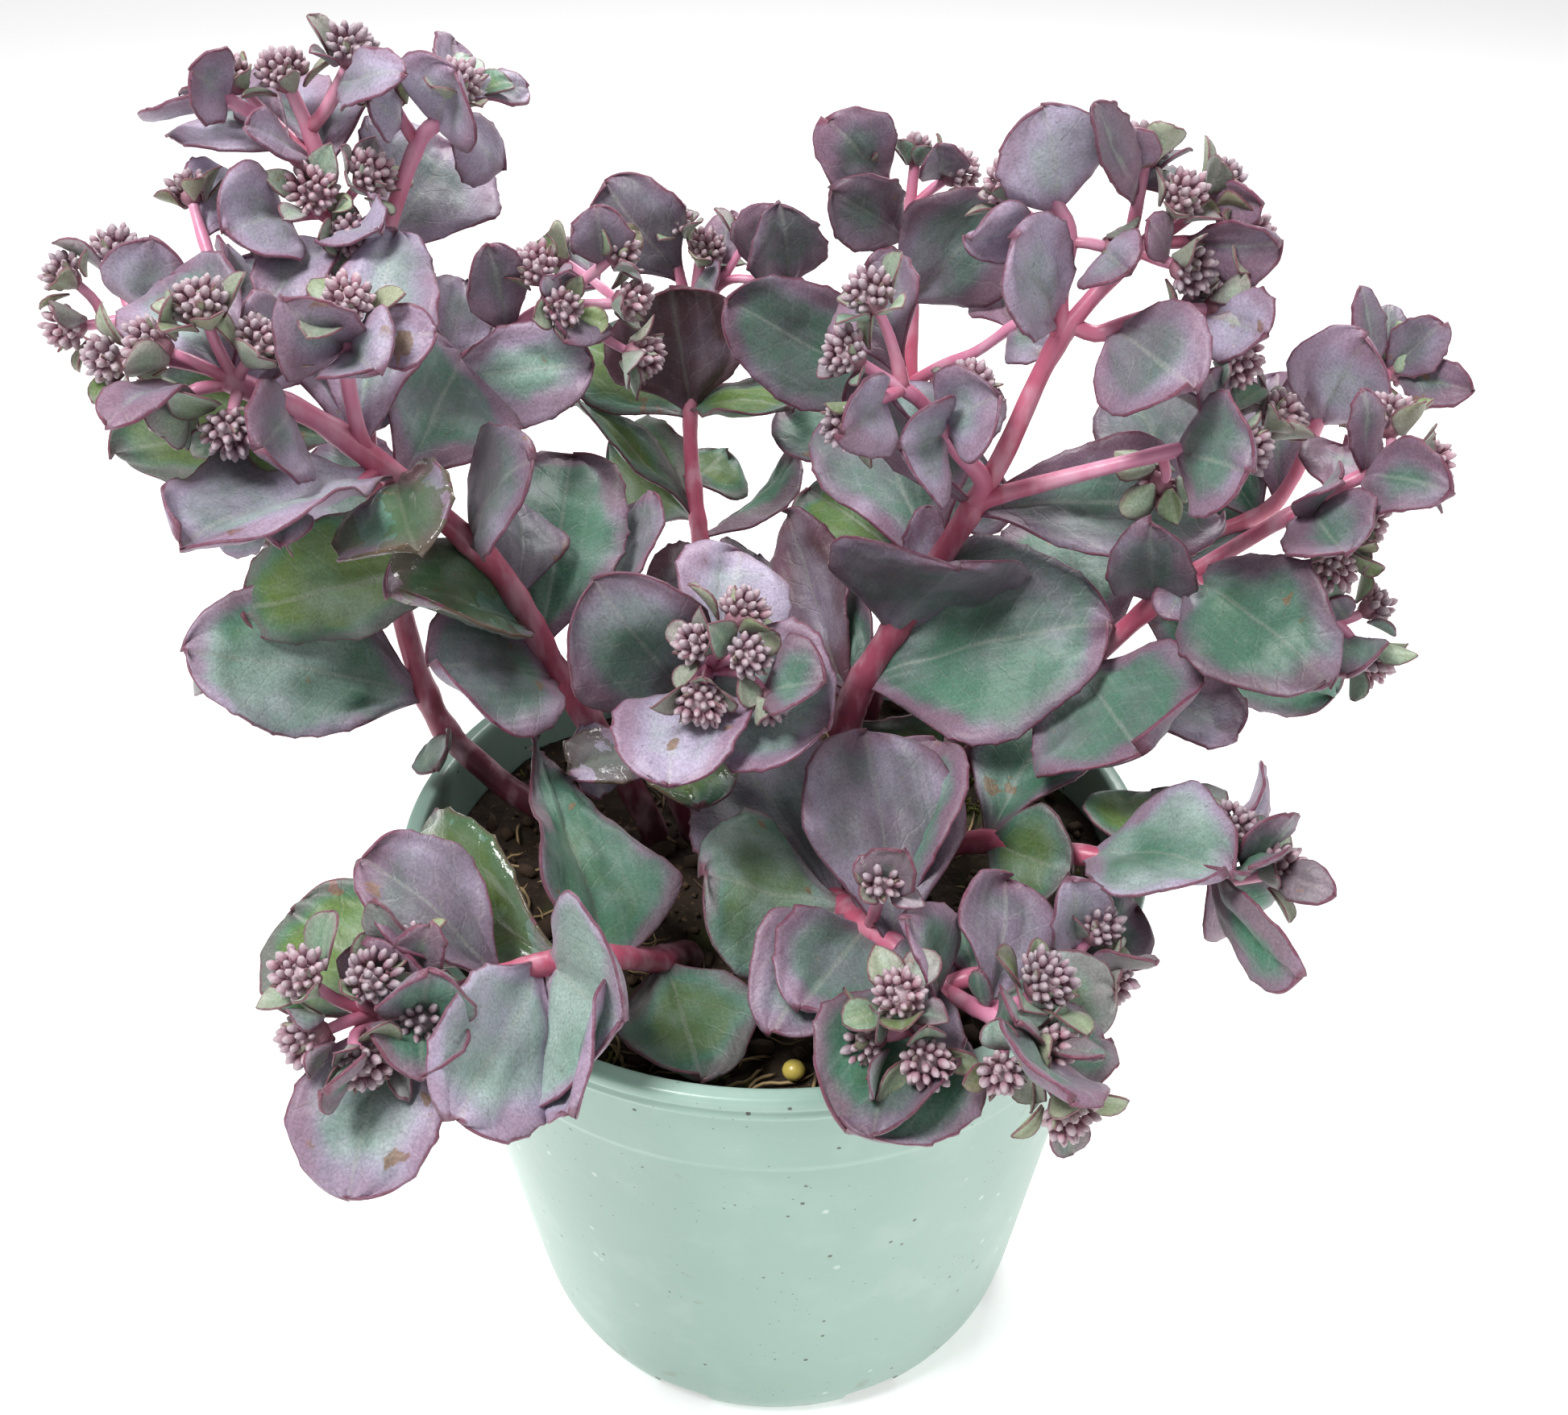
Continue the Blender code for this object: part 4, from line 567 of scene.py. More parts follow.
    "back": """
    main soil 22,48 3 1.3 4.5: 29,55,154 32,75,170 33,88,190 34,97,213 32,100,225 34,107.2,249.4
    l1 main 0.92 1.3 1 4.5: 29,106,240 24.5,107,247.8
    r1 main 0.92 1.3 1 5.6: 38,104,242 43.5,103.8,245.8
    s main 0.66 1.7 1.2 0: 41,84,206 48,80,211 55,77,218 57,76,220
    s2 main 0.68 1.7 1.2 0: 20,90,208 9,92,218 3,94,224
    main 0.79 -35 50 38 30 105 md; main 0.56 145 5 36 28 -55 t; main 0.4 130 5 32 24 -70 g
    main 0.63 -165 35 56 28 -90 tm; l1 0.6 -145 45 24 20 -125 m; main 0.88 -150 35 26 18 -100 md
    s 0.94 90 15 20 18 -70; s 0.92 -65 0 16 14 75; s2 0.96 -100 65 24 19 155; main 0.57 40 10 32 22 65 dr
    main 0.46 40 0 34 26 55 dm; main 0.82 -150 25 14 13 -95; r1 0.78 -110 50 14 12 -115
    """,
    "far": """
    main soil 34,18 3.3 1.3 0: 53,22,144 62,20,153 81,16,179 94,14,193 119,14,211 124,14,212
    t1 main 1 1.2 1 5.6: 128,13,216 132.3,11.2,216
    t2 main 0.99 1.2 1 5.6: 126,16,216 125.9,19.3,221.8
    t3 main 0.9 1.3 1 5.6: 115,10,206 120.1,8,204.3
    t4 main 0.86 1.2 1 5.6: 112,6,203 113.1,-0.1,199.3
    low main 0.7 1.8 1.1 5.6: 92,10,187 104,6,186 116,3,184 125,0,176
    low2 low 0.71 1.2 1 4.5: 121,4,184 125,5,186
    main 0.47 -80 5 42 40 60 tm; main 0.48 -44 -6 38 22 15 ml; main 0.48 90 15 46 38 -30 t
    main 0.61 5 -25 48 26 90 gm; main 0.63 -120 65 26 18 -125 dm; main 0.7 -65 0 42 30 60 0.25 gmd
    main 0.89 -86 1 26 20 70 m; main 0.97 -65 20 24 16 100; main 0.98 -155 70 22 8 -75; main 0.93 70 5 18 18 -35
    t4 0.28 -70 61 16 13 175; main 0.69 -120 -20 12 10 15; low 0.83 -105 -5 14 15 120; low2 0.4 -150 50 9 7 -95
    """,
    "rear": """
    main soil 40,42 2.8 1.3 5.6: 65,55,145 94,62,166 116,62,177 122,60,188 128,62,206 145,70,211
    main 0.85 -75 65 28 27 160 ml; main 0.84 174 81 18 15 -115 m; main 0.95 160 75 22 9 -100
    main 0.97 75 40 18 10 -95; main 0.98 -35 55 18 13 170; main 0.99 -47 5 20 11 125
    main 0.6 110 25 46 30 -65 md; main 0.68 104 14 34 26 -70 gmd; main 0.72 85 40 34 20 -35 m
    main 0.48 29 19 36 30 -10 td
    """,
    "centre": """
    main soil -20,14 2.8 1.5 0: -26,12,143 -22,4,156 -17,-6,172 -12,-14,185
    h1 main 1 1.4 1.1 5.6: -14,-20,186 -14.3,-27,184.8
    h2 main 1 1.2 1 4.5: -12,-19,190 -15.1,-20.6,193.4
    h3 main 1 1.2 1 5: -9,-19,189 -5.4,-23.6,192.3
    h4 main 1 1.4 1.1 4.5: -6,-21,187 -0.7,-24.8,183.4
    h5 main 1 1.4 1.1 5.6: -10,-16,191 -6.6,-13.1,196.2
    main 0.93 75 25 32 26 20 ml; main 0.79 -150 60 38 31 -55 tmd; main 0.9 -34 -1 32 32 35 mtl
    main 0.89 -101 -6 30 28 25 ml; main 0.46 -130 15 30 17 -5 mlw; main 0.5 -70 0 26 22 -5 gw
    h4 0.88 -29 24 15 18 -145 0.25
    """,
    "front_left": """
    main soil -18,-30 3.2 1.5 0: -24,-42,131 -30,-52,141 -39,-59,147 -50,-66,150 -68,-77,151 -73,-80,154
    h1 main 0.94 1.5 1.2 5.6: -65,-80,152 -61.9,-84.1,155.9
    h2 main 1 1.3 1 5.6: -73,-82,159 -70.2,-82.6,164.1
    h3 main 1 1.3 1 5.6: -75,-84,156 -81.1,-87.1,155
    h4 main 1 1.2 1 5: -74,-86,154 -71.2,-92.2,153.7
    h5 main 1 1.3 1 5.6: -77,-82,159 -81.8,-83.5,166.2
    h6 main 0.89 1.2 1 4: -64,-74,159 -65.8,-73.5,165.1
    main 0.63 -50 9 25 43 19 0.25 tgp; main 0.5 113 9 56 34 74 0.2 ttgdh; main 0.74 170 46 34 28 94 m
    main 0.5 -93 -5 38 28 19 tml; main 0.66 -110 -4 37.8 30.6 -102 tmp; main 0.62 137 -1 48 30 4 gw
    main 0.92 -103 -26 34 27 -49 mlb; main 0.91 145 15 30 30 45 g; main 0.9 -173 67 18.7 17.2 40 t
    main 0.28 -75 -5 32.4 28.8 -25 tgd; main 0.68 -115 -24 27 23.4 -95 gpw; main 0.96 -69 -16 18 5.4 -35 gp
    h6 0.7 -169 70 16 8 -135 gp; h1 0.85 -30 75 14 17 -15 0.3; h1 0.77 -80 0 14 17 10 0.3
    h4 0.8 -105 15 13 14 -40; h6 0.65 -45 65 14 9 115
    """,
    "front_right": """
    main soil 10,-12 3.2 2.2 0: 15,-30,134 19,-40,138 27,-50,138 34,-58,136
    s main 0.67 1.4 1.1 4: 20,-48,151 20,-56,163
    l main 1 1.8 1.2 5.6: 30,-67,139 27,-71,142 23,-74,142 17.1,-75.1,141.8
    l2 l 0.6 1.3 1 5.6: 26,-76,142 27.3,-81.9,143
    l3 l 0.57 1.3 1 5.6: 24,-73,146 22.6,-75,152.2
    d main 1 1.8 1.2 5.6: 38,-64,139 42,-70,141 45,-76,141 50.1,-78.5,142
    d2 d 0.6 1.2 1 5: 42,-78,142 40.7,-84.8,143.2
    d3 d 0.75 1.2 1 5.6: 49,-82,139 52.2,-89.2,137.5
    e d 0.4 1.5 1.2 6.2: 46,-68,144 50,-68.5,149.3
    q main 0.98 1.8 1.2 5.6: 38,-56,139 48,-52,137 57,-50,137 63.6,-49.1,145.3
    q2 q 0.73 1.3 1 4.5: 61,-52,137 66.4,-54.9,136.7
    main 0.67 65 30 42 33 -59 tb; main 0.78 100 38 44 35 -24 md; main 0.5 -169 26 32 39 -159 ggtl
    d 0.72 -80 19 30 23 25 m; main 0.9 -106 -10 40 26 70 md; main 0.67 -121 -1 28 26 30 tm
    main 0.6 -120 -5 34 26 15 mt; main 0.39 120 15 44 38 -5 md; l 0.15 -123 -7 34 34 5 gm
    l 0.19 180 74 22 20 70 t; d 0.59 -85 46 20 12 65; d 0.94 29 -21 16 16 -5; e 0.12 80 20 28 21 -5 m
    e 0.12 15 -3 25.2 19.8 30 gl; q 0.2 100 5 16 17 -70 gm; q 0.76 -175 85 21 15 -70 ml
    q 0.82 46 -4 20 20 25 md; q2 0.45 -40 33 17 9 95; s 0.82 -30 70 14 11 30 0.25; s 0.82 -160 65 11 6 -35
    l 0.1 105 10 14 14 35; l 0.33 -100 0 14 15 -45; d 1 -40 20 14 6 40; e 0.12 165 75 10 5 -110
    """,
    "front_side": """
    main soil 30,-6 3 1.4 5.6: 33,-10,132 46,-14,139 64,-26,145 87,-34,147 93,-38,149 99.9,-40.9,153.5
    h1 main 0.84 1.2 1 5.6: 90,-34,152 92.1,-33.1,157.5
    main 0.39 57 22 34 26 -57 td; main 0.39 -50 15 24 24 85 gd; main 0.62 -49 27 36 32 82 ttgml
    main 0.81 95 0 26 30 -70 g; main 0.84 48 25 28 15 19 0.2 ml; main 0.86 -70 0 32 18 140 gm
    main 0.92 -103 43 18 19 80 t; main 0.86 15 -50 20 20 50 t; main 0.93 -26 69 18 15 149 t
    main 0.98 -60 20 16 9 85
    """,
}
FOOT_LEVEL = 108
ROOT_DEPTH = 1.6
USUAL_CUP = 0.12
RING_SPACING = 1.8
SWELLING, SWELLING_REACH = 0.17, 2.6


def read_stem(text):
    """The canes and the leaves that a stem's text lists."""
    canes, leaves = [], []
    for line in text.replace(";", "\n").strip().splitlines():
        words, _, points = line.partition(":")
        name, *cells = words.split()
        if points:
            points = [[float(cell) for cell in point.split(",")] for point in points.split()]
            start = [float(cell) for cell in cells[1].split(",")]
            canes.append((name, cells[0], start, points, *[float(cell) for cell in cells[2:]]))
        else:
            marks = cells.pop() if cells[-1].isalpha() else ""
            leaves.append((name, *[float(cell) for cell in (*cells, USUAL_CUP)[:7]], marks))
    return canes, leaves


def smooth_path(points, spacing=1.0):
    """Points about one spacing apart on a smooth curve through the given points."""
    knots = [Vector(point) for point in points]
    knots = [2 * knots[0] - knots[1], *knots, 2 * knots[-1] - knots[-2]]
    path = []
    for a, b, c, d in zip(knots, knots[1:], knots[2:], knots[3:]):
        steps = max(1, round((c - b).length / spacing))
        for k in range(steps):
            t = k / steps
            square = (2 * a - 5 * b + 4 * c - d) * t**2
            cube = (3 * b - a - 3 * c + d) * t**3
            path.append(0.5 * (2 * b + (c - a) * t + square + cube))
    path.append(knots[-2])
    return path


def place_on(path, along):
    """The point at this distance along a path, and the path's direction there."""
    lengths = path_lengths(path)
    k = 1
    while k < len(path) - 1 and lengths[k] < along:
        k += 1
    step = path[k] - path[k - 1]
    share = (along - lengths[k - 1]) / (lengths[k] - lengths[k - 1])
    return path[k - 1] + step * min(share, 1.0), step.normalized()


def cane_paths(canes):
    """The path of each cane of a stem. A main cane starts upright in the soil."""
    paths = {}
    for name, parent, start, points, _, _, _ in canes:
        if parent == "soil":
            points = [(*start, FOOT_LEVEL), (*start, SOIL_LEVEL + 2), *points]
        else:
            longest = path_lengths(paths[parent])[-1]
            root, _ = place_on(paths[parent], min(start[0] * longest, longest - 2.5))
            points = [root, *points]
        paths[name] = smooth_path(points)
        for point in paths[name]:
            if point.z <= SOIL_LEVEL + 2:
                point.xy = start
    return paths


flesh = Finish("fleshy_cane", 0.36, Specular_IOR_Level=0.5)
youth = flesh.plus(flesh.attribute("youth"), flesh.clouds(12), 0.3)
flesh.coat(flesh.step(youth, 0.25, 0.62), (0.085, 0.016, 0.03), (0.50, 0.10, 0.17))
flesh.coat(flesh.step(youth, 0.7, 1.15), (0.70, 0.27, 0.42))
flesh.coat(flesh.step(flesh.clouds(5, 4, (1, 1, 0.4)), 0.42, 0.7, 0, 0.45), (0.72, 0.48, 0.58))
flesh.bump(flesh.clouds(1.6, 4, (1, 1, 0.3)), 0.12)
cane_skin = flesh.paint()


def layered(*names):
    """An empty shape whose vertices hold a number under each of these names."""
    shape = bmesh.new()
    for name in names:
        shape.verts.layers.float.new(name)
    return shape


stems = {stem: read_stem(text) for stem, text in STEMS.items()}
stem_paths = {stem: cane_paths(canes) for stem, (canes, _) in stems.items()}
for stem, (canes, leaves) in stems.items():
    canes_shape = layered("youth")
    paths = stem_paths[stem]
    for name, parent, _, _, foot_radius, tip_radius, head_radius in canes:
        path = paths[name]
        total = path_lengths(path)[-1]
        if head_radius:
            total -= head_radius * 0.4
        joints = [leaf[1] * total for leaf in leaves if leaf[0] == name]
        joints += [min(cane[2][0], 1) * total for cane in canes if cane[1] == name]
        count = max(3, round(total / RING_SPACING))
        rows, radii, ages = [], [], []
        for k in range(count + 1):
            along = total * k / count
            rows.append(place_on(path, along)[0])
            nearest = min([abs(along - joint) for joint in joints], default=math.inf)
            swelling = SWELLING * math.exp(-((nearest / SWELLING_REACH) ** 2))
            radius = foot_radius + (tip_radius - foot_radius) * k / count
            radii.append(radius * (1 + swelling + 0.04 * noise.noise(rows[-1] / 4)))
            ages.append(0.05 + 0.8 * k / count if parent == "soil" else 0.65 + 0.35 * k / count)
        end = rows[-1] - rows[-2]
        rows += [rows[-1] + end * 0.3, rows[-1] + end * 0.45]
        radii += [radii[-1] * 0.6, 0.0]
        rows.insert(0, rows[0] + (rows[0] - rows[1]) * 0.01)
        radii.insert(0, 0.0)
        ages = [ages[0], *ages, ages[-1], ages[-1]]
        add_tube(canes_shape, rows, radii, 16 if foot_radius > 2 else 10, youth=ages)
    bmesh.ops.recalc_face_normals(canes_shape, faces=canes_shape.faces)
    make_piece(canes_shape, stem + "_canes", cane_skin, [stem + "_stem"])


# Leaves
# Thick, cupped blades, in pairs up each cane: mauve under a wax bloom where the light reaches them, teal to
# green near the root and in shade, with a thin plum margin of shallow teeth, and old scars and rain on a few.
TINTS = {"m": 0.74, "t": 0.5, "g": 0.1, "r": 1.5}
LEAF_FLESH, BRACT_FLESH = (1.6, 0.35), (0.7, 0.5)  # how thick, and which share of that at the margin
BLADE_LAYERS = ("hue", "light", "waxed", "pale", "wet", "scarred", "margin", "across", "along")


def blade_width(s):
    """Half width of a leaf at share s of its length, as a share of its greatest half width."""
    if s < 0.58:
        return 0.13 + 0.87 * math.sin(math.pi / 2 * s / 0.58) ** 1.3
    return math.sqrt(max(0.0, 1 - ((s - 0.58) / 0.42) ** 2.4))


def horn_width(s):
    """The same for a leaf that narrows from a wide foot to a horn."""
    if s < 0.3:
        return 0.3 + 0.7 * math.sin(math.pi / 2 * s / 0.3)
    if s < 0.97:
        return 0.1 + 0.9 * (1 - (s - 0.3) / 0.7) ** 1.15
    return 0.16 * math.sqrt(max(0.0, (1 - s) / 0.03))


def bract_width(s):
    """The same for a bract, which is pointed."""
    if s < 0.45:
        return 0.25 + 0.75 * math.sin(math.pi / 2 * s / 0.45)
    return max(0.0, 1 - ((s - 0.45) / 0.55) ** 2)


def add_blade(shape, root, axis, face, length, width, outline, cup, draw, **marks):
    """Adds an open blade with its measures and marks in layers. The piece's Solidify gives it its flesh."""
    side = face.cross(axis)
    is_large = length > 12
    rows = round(length * 0.8) + 10 if is_large else 7
    columns = 16 if length > 22 else 10 if is_large else 4
    phase = length + width + marks["phase"]
    teeth = length / draw.uniform(4.5, 7.5)
    depth = draw.uniform(0.4, 1.1) if is_large else 0.0
    wave = draw.uniform(0.4, 1.5) * length / 40
    bends = length / draw.uniform(10, 17)
    curl = draw.uniform(-0.09, 0.12) * length
    twist = draw.uniform(-0.35, 0.35)
    fold = draw.uniform(0.0, 0.22)
    lopsided = draw.uniform(-0.12, 0.12)
    point = draw.choice((0.0, 0.12, 0.3, 0.45))
    broad = draw.uniform(0.86, 1.18)
    layers = {name: shape.verts.layers.float[name] for name in BLADE_LAYERS}
    flesh = shape.verts.layers.deform.verify()
    first_tooth = draw.random()
    points = wrapped(shape, rows, columns)
    for vert, down, over in points:
        s = 1 - (1 - down) ** 1.45
        t = 2 * over - 1
        half = outline(s**broad) * width / 2
        if is_large:
            half *= 1 - point * max(0.0, (s - 0.6) / 0.4) ** 1.5 * (1 - s) * 4
            half *= 1 + lopsided * (1 if t > 0 else -1) * math.sin(math.pi * s)
            half *= 1 + 0.07 * noise.noise(Vector((s * 3.5, phase, 2 if t > 0 else 5)))
        bite = math.sin(math.tau * (teeth * s**1.2 + first_tooth + 0.31 * (t > 0)))
        bite = depth * max(0.0, bite) ** 2 * abs(t) ** 6 * min(1, half / 4) * (s > 0.22)
        across = t * (half + bite * (0.6 + 0.9 * noise.noise(Vector((s * 9, phase, t)))))
        height = 0.06 * length * 4 * s * (1 - s) + cup * abs(across) * abs(t)
        height += 0.035 * length * t * s * math.sin(5.5 * s + phase)
        if is_large:
            grown = min(1, 4 * s)
            waving = math.sin(math.tau * bends * s / 2 + phase * 7 + 2.5 * t)
            height += wave * (0.2 + abs(t) ** 3) * waving * grown
            for swell, size in ((1.8, 12), (0.5, 4)):
                height += swell * noise.noise(Vector((s * length / size, t * width / size, phase))) * grown
            height += fold * abs(across) * grown - 0.9 * math.exp(-((across / 1.4) ** 2)) * (1 - s)
            height += curl * max(0.0, s - 0.5) ** 2 * 4 + twist * across * max(0.0, s - 0.3)
        vert.co = root + axis * s * length + side * across + face * height
        margin = min(half * (1 - abs(t)), (1 - s) * length)
        vert[flesh][0] = min(1.0, margin / min(6.0, width / 4))
        marks.update(margin=margin, across=across, along=s * length + marks["phase"])
        for name, layer in layers.items():
            vert[layer] = marks[name]
    closed_up(shape, points)


def fleshed(piece, thickness, thin):
    """Gives open blades their flesh, thinner towards the margin."""
    piece.vertex_groups.new(name="flesh")
    solid = piece.modifiers.new("flesh", "SOLIDIFY")
    solid.thickness = thickness / 1000
    solid.offset = 0
    solid.vertex_group = "flesh"
    solid.thickness_vertex_group = thin


# A blade's colour goes from green (hue 0) through teal (0.5) and mauve (1) to maroon (1.5 and more). Wax
# blooms over it in clouds and streaks, and its edges turn mauve and rose within a plum margin.
blade = Finish("sedum_blade", 0.5, Specular_IOR_Level=0.4, Sheen_Weight=0.12, Sheen_Roughness=0.5)
margin = blade.attribute("margin")
across = blade.sum("ABSOLUTE", blade.attribute("across"))
along = blade.attribute("along")
drift = blade.sum("SUBTRACT", blade.clouds(22, 3), 0.5)
speckle = blade.sum("SUBTRACT", blade.clouds(3.2, 4), 0.5)
edge = blade.plus(margin, drift, 22)
hue = blade.plus(blade.plus(blade.attribute("hue"), drift, 0.75), speckle, 0.15)
hue = blade.plus(hue, blade.step(edge, 0, 7, 0.45, 0))
blade.coat(blade.step(hue, 0.05, 0.5), (0.11, 0.18, 0.04), (0.062, 0.18, 0.115))
blade.coat(blade.step(hue, 0.45, 1.05), (0.175, 0.13, 0.18))
blade.coat(blade.step(hue, 1.3, 1.8), (0.11, 0.045, 0.06))
bloom = blade.plus(blade.plus(blade.clouds(17, 2), blade.attribute("waxed"), 0.55), speckle, 0.1)
wax = blade.mix(blade.step(hue, 0.5, 0.9), (0.36, 0.46, 0.43), (0.45, 0.39, 0.53))
blade.coat(blade.step(bloom, 0.47, 1.0, 0, 0.85), wax)
streak = blade.streaks(across, along, 1.6, 26)
blade.coat(blade.step(streak, 0.5, 0.8, 0, 0.16), (0.40, 0.43, 0.43))
blade.coat(blade.step(streak, 0.2, 0.5, 0.22, 0), (0.07, 0.09, 0.06))
veins = blade.plus(blade.plus(along, across, -0.9), speckle, 4.0)
veins = blade.step(blade.sum("PINGPONG", veins, 2.9), 0.0, 0.5, 1, 0)
midrib = blade.step(blade.plus(across, speckle), 0.1, 0.8, 0.3, 0)
vein_share = blade.sum("MAXIMUM", midrib, blade.sum("MULTIPLY", veins, 0.1))
blade.coat(vein_share, (0.36, 0.38, 0.33))
freckles = blade.step(blade.clouds(0.9, 2), 0.62, 0.72, 0, 0.35)
blade.coat(freckles, (0.10, 0.07, 0.06))
old = blade.plus(blade.clouds(8, 6), blade.attribute("scarred"), 0.05)
scar = blade.sum("MULTIPLY", blade.step(old, 0.67, 0.69, 0, 0.8), blade.step(blade.clouds(27, 2), 0.50, 0.55))
blade.coat(scar, blade.mix(blade.clouds(1.5, 4), (0.10, 0.05, 0.02), (0.34, 0.22, 0.12)))
blade.coat(blade.step(edge, 0, 4, 0.38, 0), (0.26, 0.105, 0.165))
blade.coat(blade.attribute("pale"), (0.41, 0.47, 0.31))
plum = blade.step(blade.plus(margin, blade.clouds(3, 3)), 0.45, 1.0, 0.85, 0)
blade.coat(plum, (0.15, 0.03, 0.06))
grain = blade.step(blade.clouds(0.55, 2), 0.3, 0.7, 0.86, 1.14)
# Leaves marked d are darkened here with painted shade; otherwise this is tone that differs at random, with a
# fine grain.
blade.shade(blade.sum("MULTIPLY", blade.attribute("light"), grain))
relief = blade.plus(blade.clouds(1.2, 4), veins, -0.35)
blade.bump(blade.plus(relief, streak, 1.2), 0.12)
wet = blade.sum("MULTIPLY", blade.attribute("wet"), blade.step(blade.clouds(12, 4), 0.45, 0.47))
blade.coat(blade.sum("MULTIPLY", wet, 0.55), (0.06, 0.085, 0.015))
leaf_skin = blade.paint(Roughness=blade.step(wet, 0, 1, 0.48, 0.1))

for stem, (canes, leaves) in stems.items():
    leaves_shape = layered(*BLADE_LAYERS)
    draw = random.Random(stem)
    paths = stem_paths[stem]
    radii = {row[0]: row[4:6] for row in canes}
    for cane, share, heading, rise, length, width, roll, cup, marks in leaves:
        total = path_lengths(paths[cane])[-1]
        place, tangent = place_on(paths[cane], min(share * total, total - 1.5))
        radius = radii[cane][0] + (radii[cane][1] - radii[cane][0]) * share
        level = math.cos(math.radians(rise))
        around = math.radians(heading)
        axis = Vector((math.cos(around) * level, math.sin(around) * level, math.sin(math.radians(rise))))
        face = tangent + Vector((0, 0, 0.5))
        face -= axis * face.dot(axis)
        face = Matrix.Rotation(math.radians(roll), 3, axis) @ face.normalized()
        root = place + (axis - tangent * axis.dot(tangent)) * max(0, radius - ROOT_DEPTH)
        tints = [TINTS[mark] for mark in marks if mark in TINTS]
        hue = sum(tints) / len(tints) if tints else 0.4 + 0.35 * min(1, max(0, (root.z - 150) / 70))
        add_blade(
            leaves_shape, root, axis, face, length, width, horn_width if "h" in marks else blade_width,
            cup, draw, phase=heading, hue=hue + draw.uniform(-0.08, 0.1),
            # Painted shade: leaves marked d keep 0.68 of their brightness.
            light=(0.68 if "d" in marks else 1.0) * draw.uniform(0.9, 1.12),
            waxed=(0.75 if "p" in marks else 0.45 if "l" in marks else 0.0) + draw.uniform(0, 0.15),
            pale=0.0, wet=float("w" in marks), scarred=float("b" in marks),
        )
    blades = make_piece(leaves_shape, stem + "_leaves", leaf_skin, [stem + "_stem"])
    fleshed(blades, *LEAF_FLESH)


# Bud heads
# At each twig's end sit some thirty closed buds on short stalks, dusty mauve and ribbed like grain, packed in
# lobes round a fleshy core. Small pointed bracts stand round them, cream-green with pink tips.
bud = Finish("sedum_bud", 0.5, Specular_IOR_Level=0.35)
bud.coat(bud.attribute("tint"), (0.27, 0.195, 0.235), (0.47, 0.25, 0.31))
# Each bud pales towards its tip: a painted highlight.
bud.coat(bud.step(bud.attribute("tip"), 0.0, 0.9, 0, 0.65), (0.56, 0.49, 0.52))
bud.coat(bud.step(bud.attribute("tip"), -0.9, 0.1, 0.75, 0), (0.22, 0.07, 0.10))
bud.bump(bud.clouds(0.6, 3), 0.22)
bud_skin = bud.paint()
GOLDEN = math.pi * (3 - math.sqrt(5))


def add_bud(shape, place, axis, wide, long, tint):
    """Adds one closed bud: a pointed grain with five shallow folds."""
    turn = axis.to_track_quat("Z", "Y").to_matrix()
    for vert in bmesh.ops.create_icosphere(shape, subdivisions=2, radius=1)["verts"]:
        x, y, z = vert.co
        pointed = (1 - 0.28 * max(0.0, z) ** 2) * (1 + 0.14 * math.cos(5 * math.atan2(y, x)) * (1 - z * z))
        vert[shape.verts.layers.float["tip"]] = z
        vert[shape.verts.layers.float["tint"]] = tint
        vert.co = place + turn @ Vector((x * wide * pointed, y * wide * pointed, z * long))


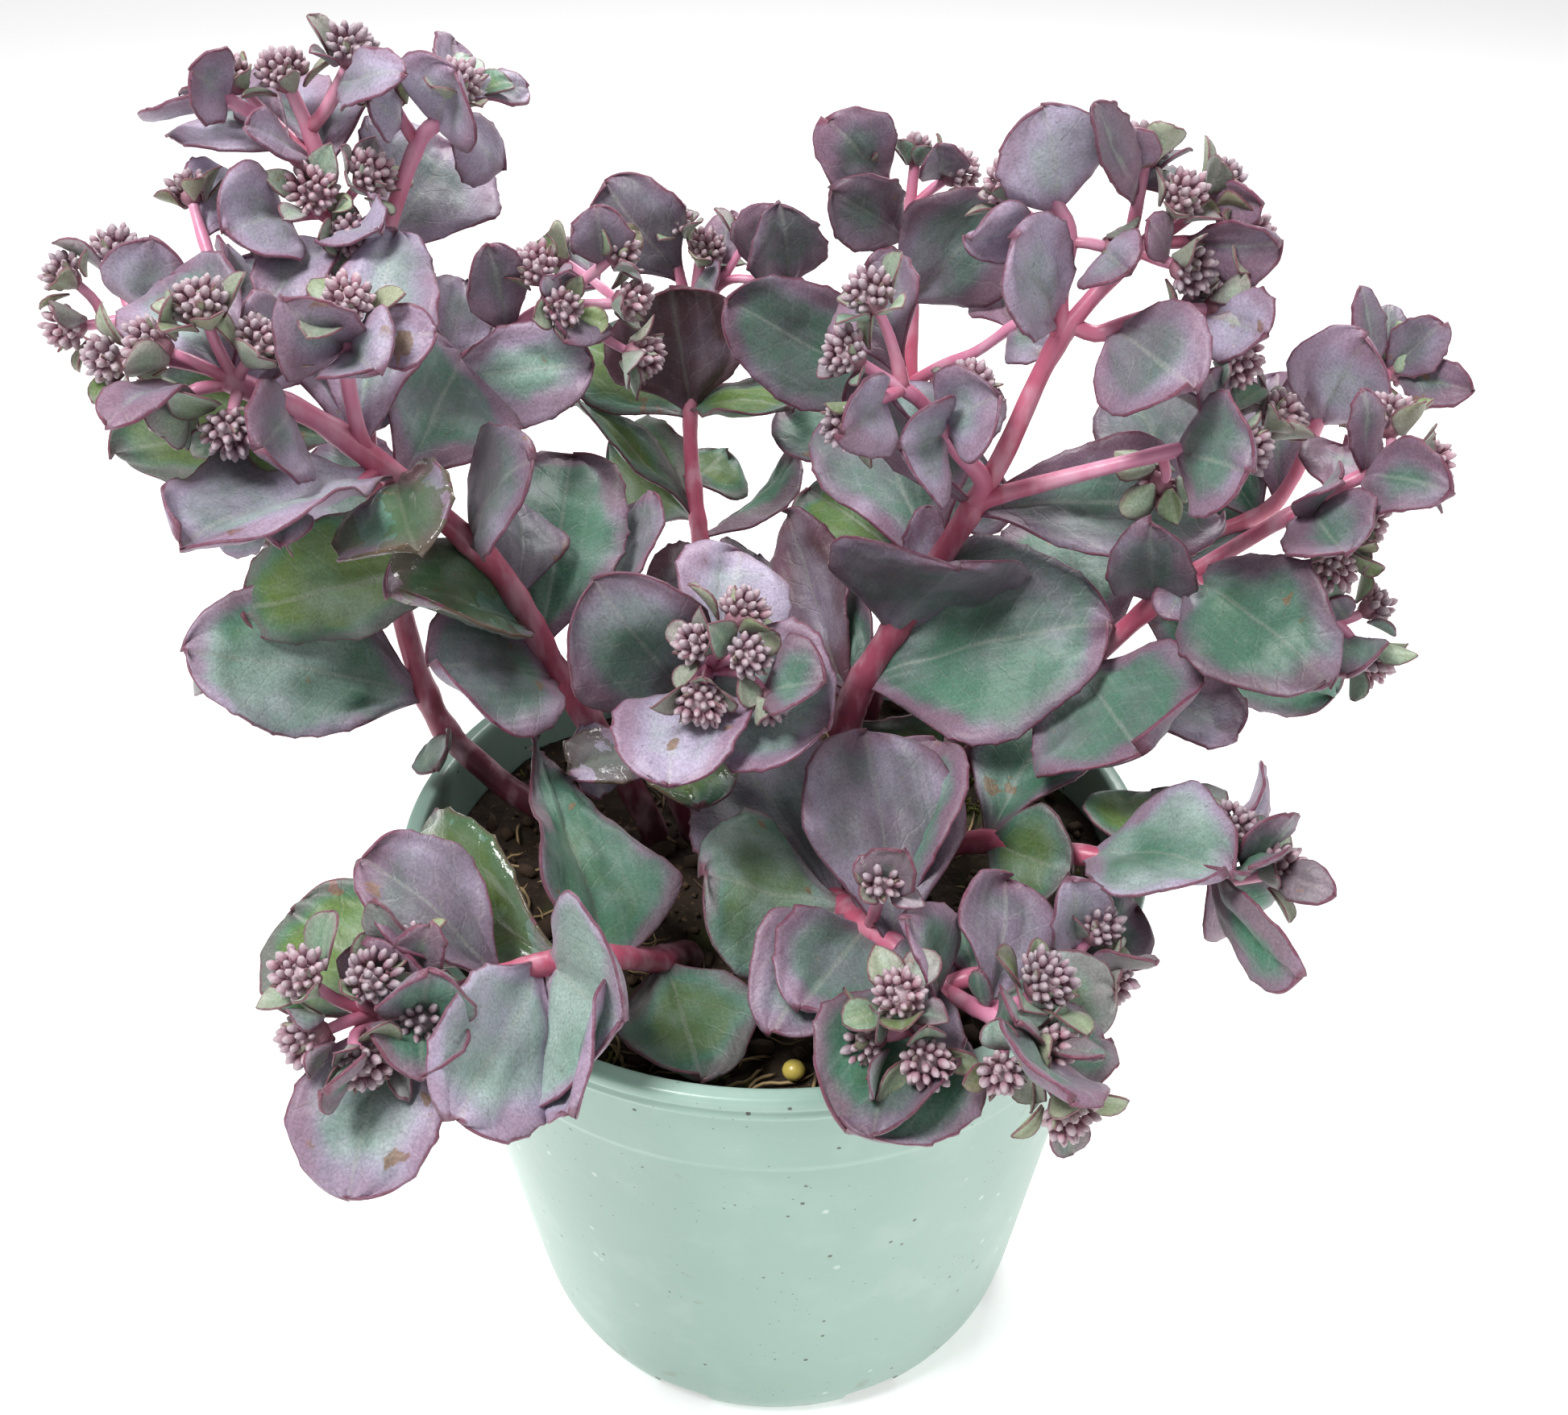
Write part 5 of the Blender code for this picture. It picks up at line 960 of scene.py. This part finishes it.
for stem, (canes, _) in stems.items():
    buds_shape = layered("tip", "tint")
    bracts_shape = layered(*BLADE_LAYERS)
    draw = random.Random(stem + " heads")
    for name, _, _, _, _, _, radius in canes:
        if not radius:
            continue
        path = stem_paths[stem][name]
        centre = path[-1]
        axis = (centre - place_on(path, path_lengths(path)[-1] - radius)[0]).normalized()
        turn = axis.to_track_quat("Z", "Y").to_matrix()
        colour = draw.uniform(0.1, 0.8)
        add_bud(buds_shape, centre - axis * radius * 0.1, axis, radius * 0.52, radius * 0.6, 0.9)
        lobes = []
        for k in range(draw.randint(3, 5)):
            angle = math.tau * k / 4 + draw.uniform(-0.5, 0.5)
            lean = math.radians(draw.uniform(25, 62))
            flat = math.sin(lean)
            lobes.append(Vector((flat * math.cos(angle), flat * math.sin(angle), math.cos(lean))))
        count = round(1.2 * radius**2)
        spin = draw.uniform(0, math.tau)
        for k in range(count):
            up = 1 - (k + 0.5) / count * 1.25
            flat = math.sqrt(1 - up * up)
            angle = k * GOLDEN + spin
            out = Vector((flat * math.cos(angle), flat * math.sin(angle), up))
            near = max(out.dot(lobe) for lobe in lobes)
            reach = radius * (0.60 + 0.30 * max(0.0, near) ** 4 + draw.uniform(-0.04, 0.06))
            way = (turn @ (out + Vector((0, 0, 0.35)))).normalized()
            wide = draw.uniform(0.68, 0.96)
            add_bud(
                buds_shape, centre + turn @ out * reach, way, wide, wide * draw.uniform(1.45, 2.1),
                colour + draw.uniform(-0.3, 0.3),
            )
        count = draw.randint(3, 5)
        spin = draw.uniform(0, math.tau)
        for k in range(count * 2):
            is_sepal = k >= count
            angle = math.tau * k / count + spin + draw.uniform(-0.3, 0.3) + 0.6 * is_sepal
            lean = math.radians(draw.uniform(15, 40) if is_sepal else draw.uniform(35, 75))
            around = Vector((math.cos(angle), math.sin(angle), 0))
            way = turn @ (around * math.sin(lean) + Vector((0, 0, math.cos(lean))))
            face = turn @ (Vector((0, 0, math.sin(lean))) - around * math.cos(lean))
            root = centre + turn @ (around * radius * 0.55 - Vector((0, 0, 0 if is_sepal else radius * 0.6)))
            long = radius * (draw.uniform(0.55, 0.8) if is_sepal else draw.uniform(1.2, 1.9))
            wide = long * (draw.uniform(0.35, 0.5) if is_sepal else draw.uniform(0.65, 0.95))
            outline = bract_width if is_sepal or k % 3 == 0 else blade_width
            add_blade(
                bracts_shape, root, way, face, long, wide, outline, 0.35, draw, phase=angle * 9,
                hue=draw.choice((-0.4, -0.2, 0.1, 0.4)), light=draw.uniform(0.9, 1.2),
                waxed=draw.uniform(0, 0.5), wet=0.0, scarred=0.0, pale=draw.uniform(0.0, 0.5) + 0.2 * is_sepal,
            )
    nodes = [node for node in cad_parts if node.startswith(stem + "_buds_")]
    if any(row[6] for row in canes):
        make_piece(buds_shape, stem + "_buds", bud_skin, nodes or [stem + "_stem"])
        bracts = make_piece(bracts_shape, stem + "_bracts", leaf_skin, [stem + "_stem"])
        fleshed(bracts, *BRACT_FLESH)
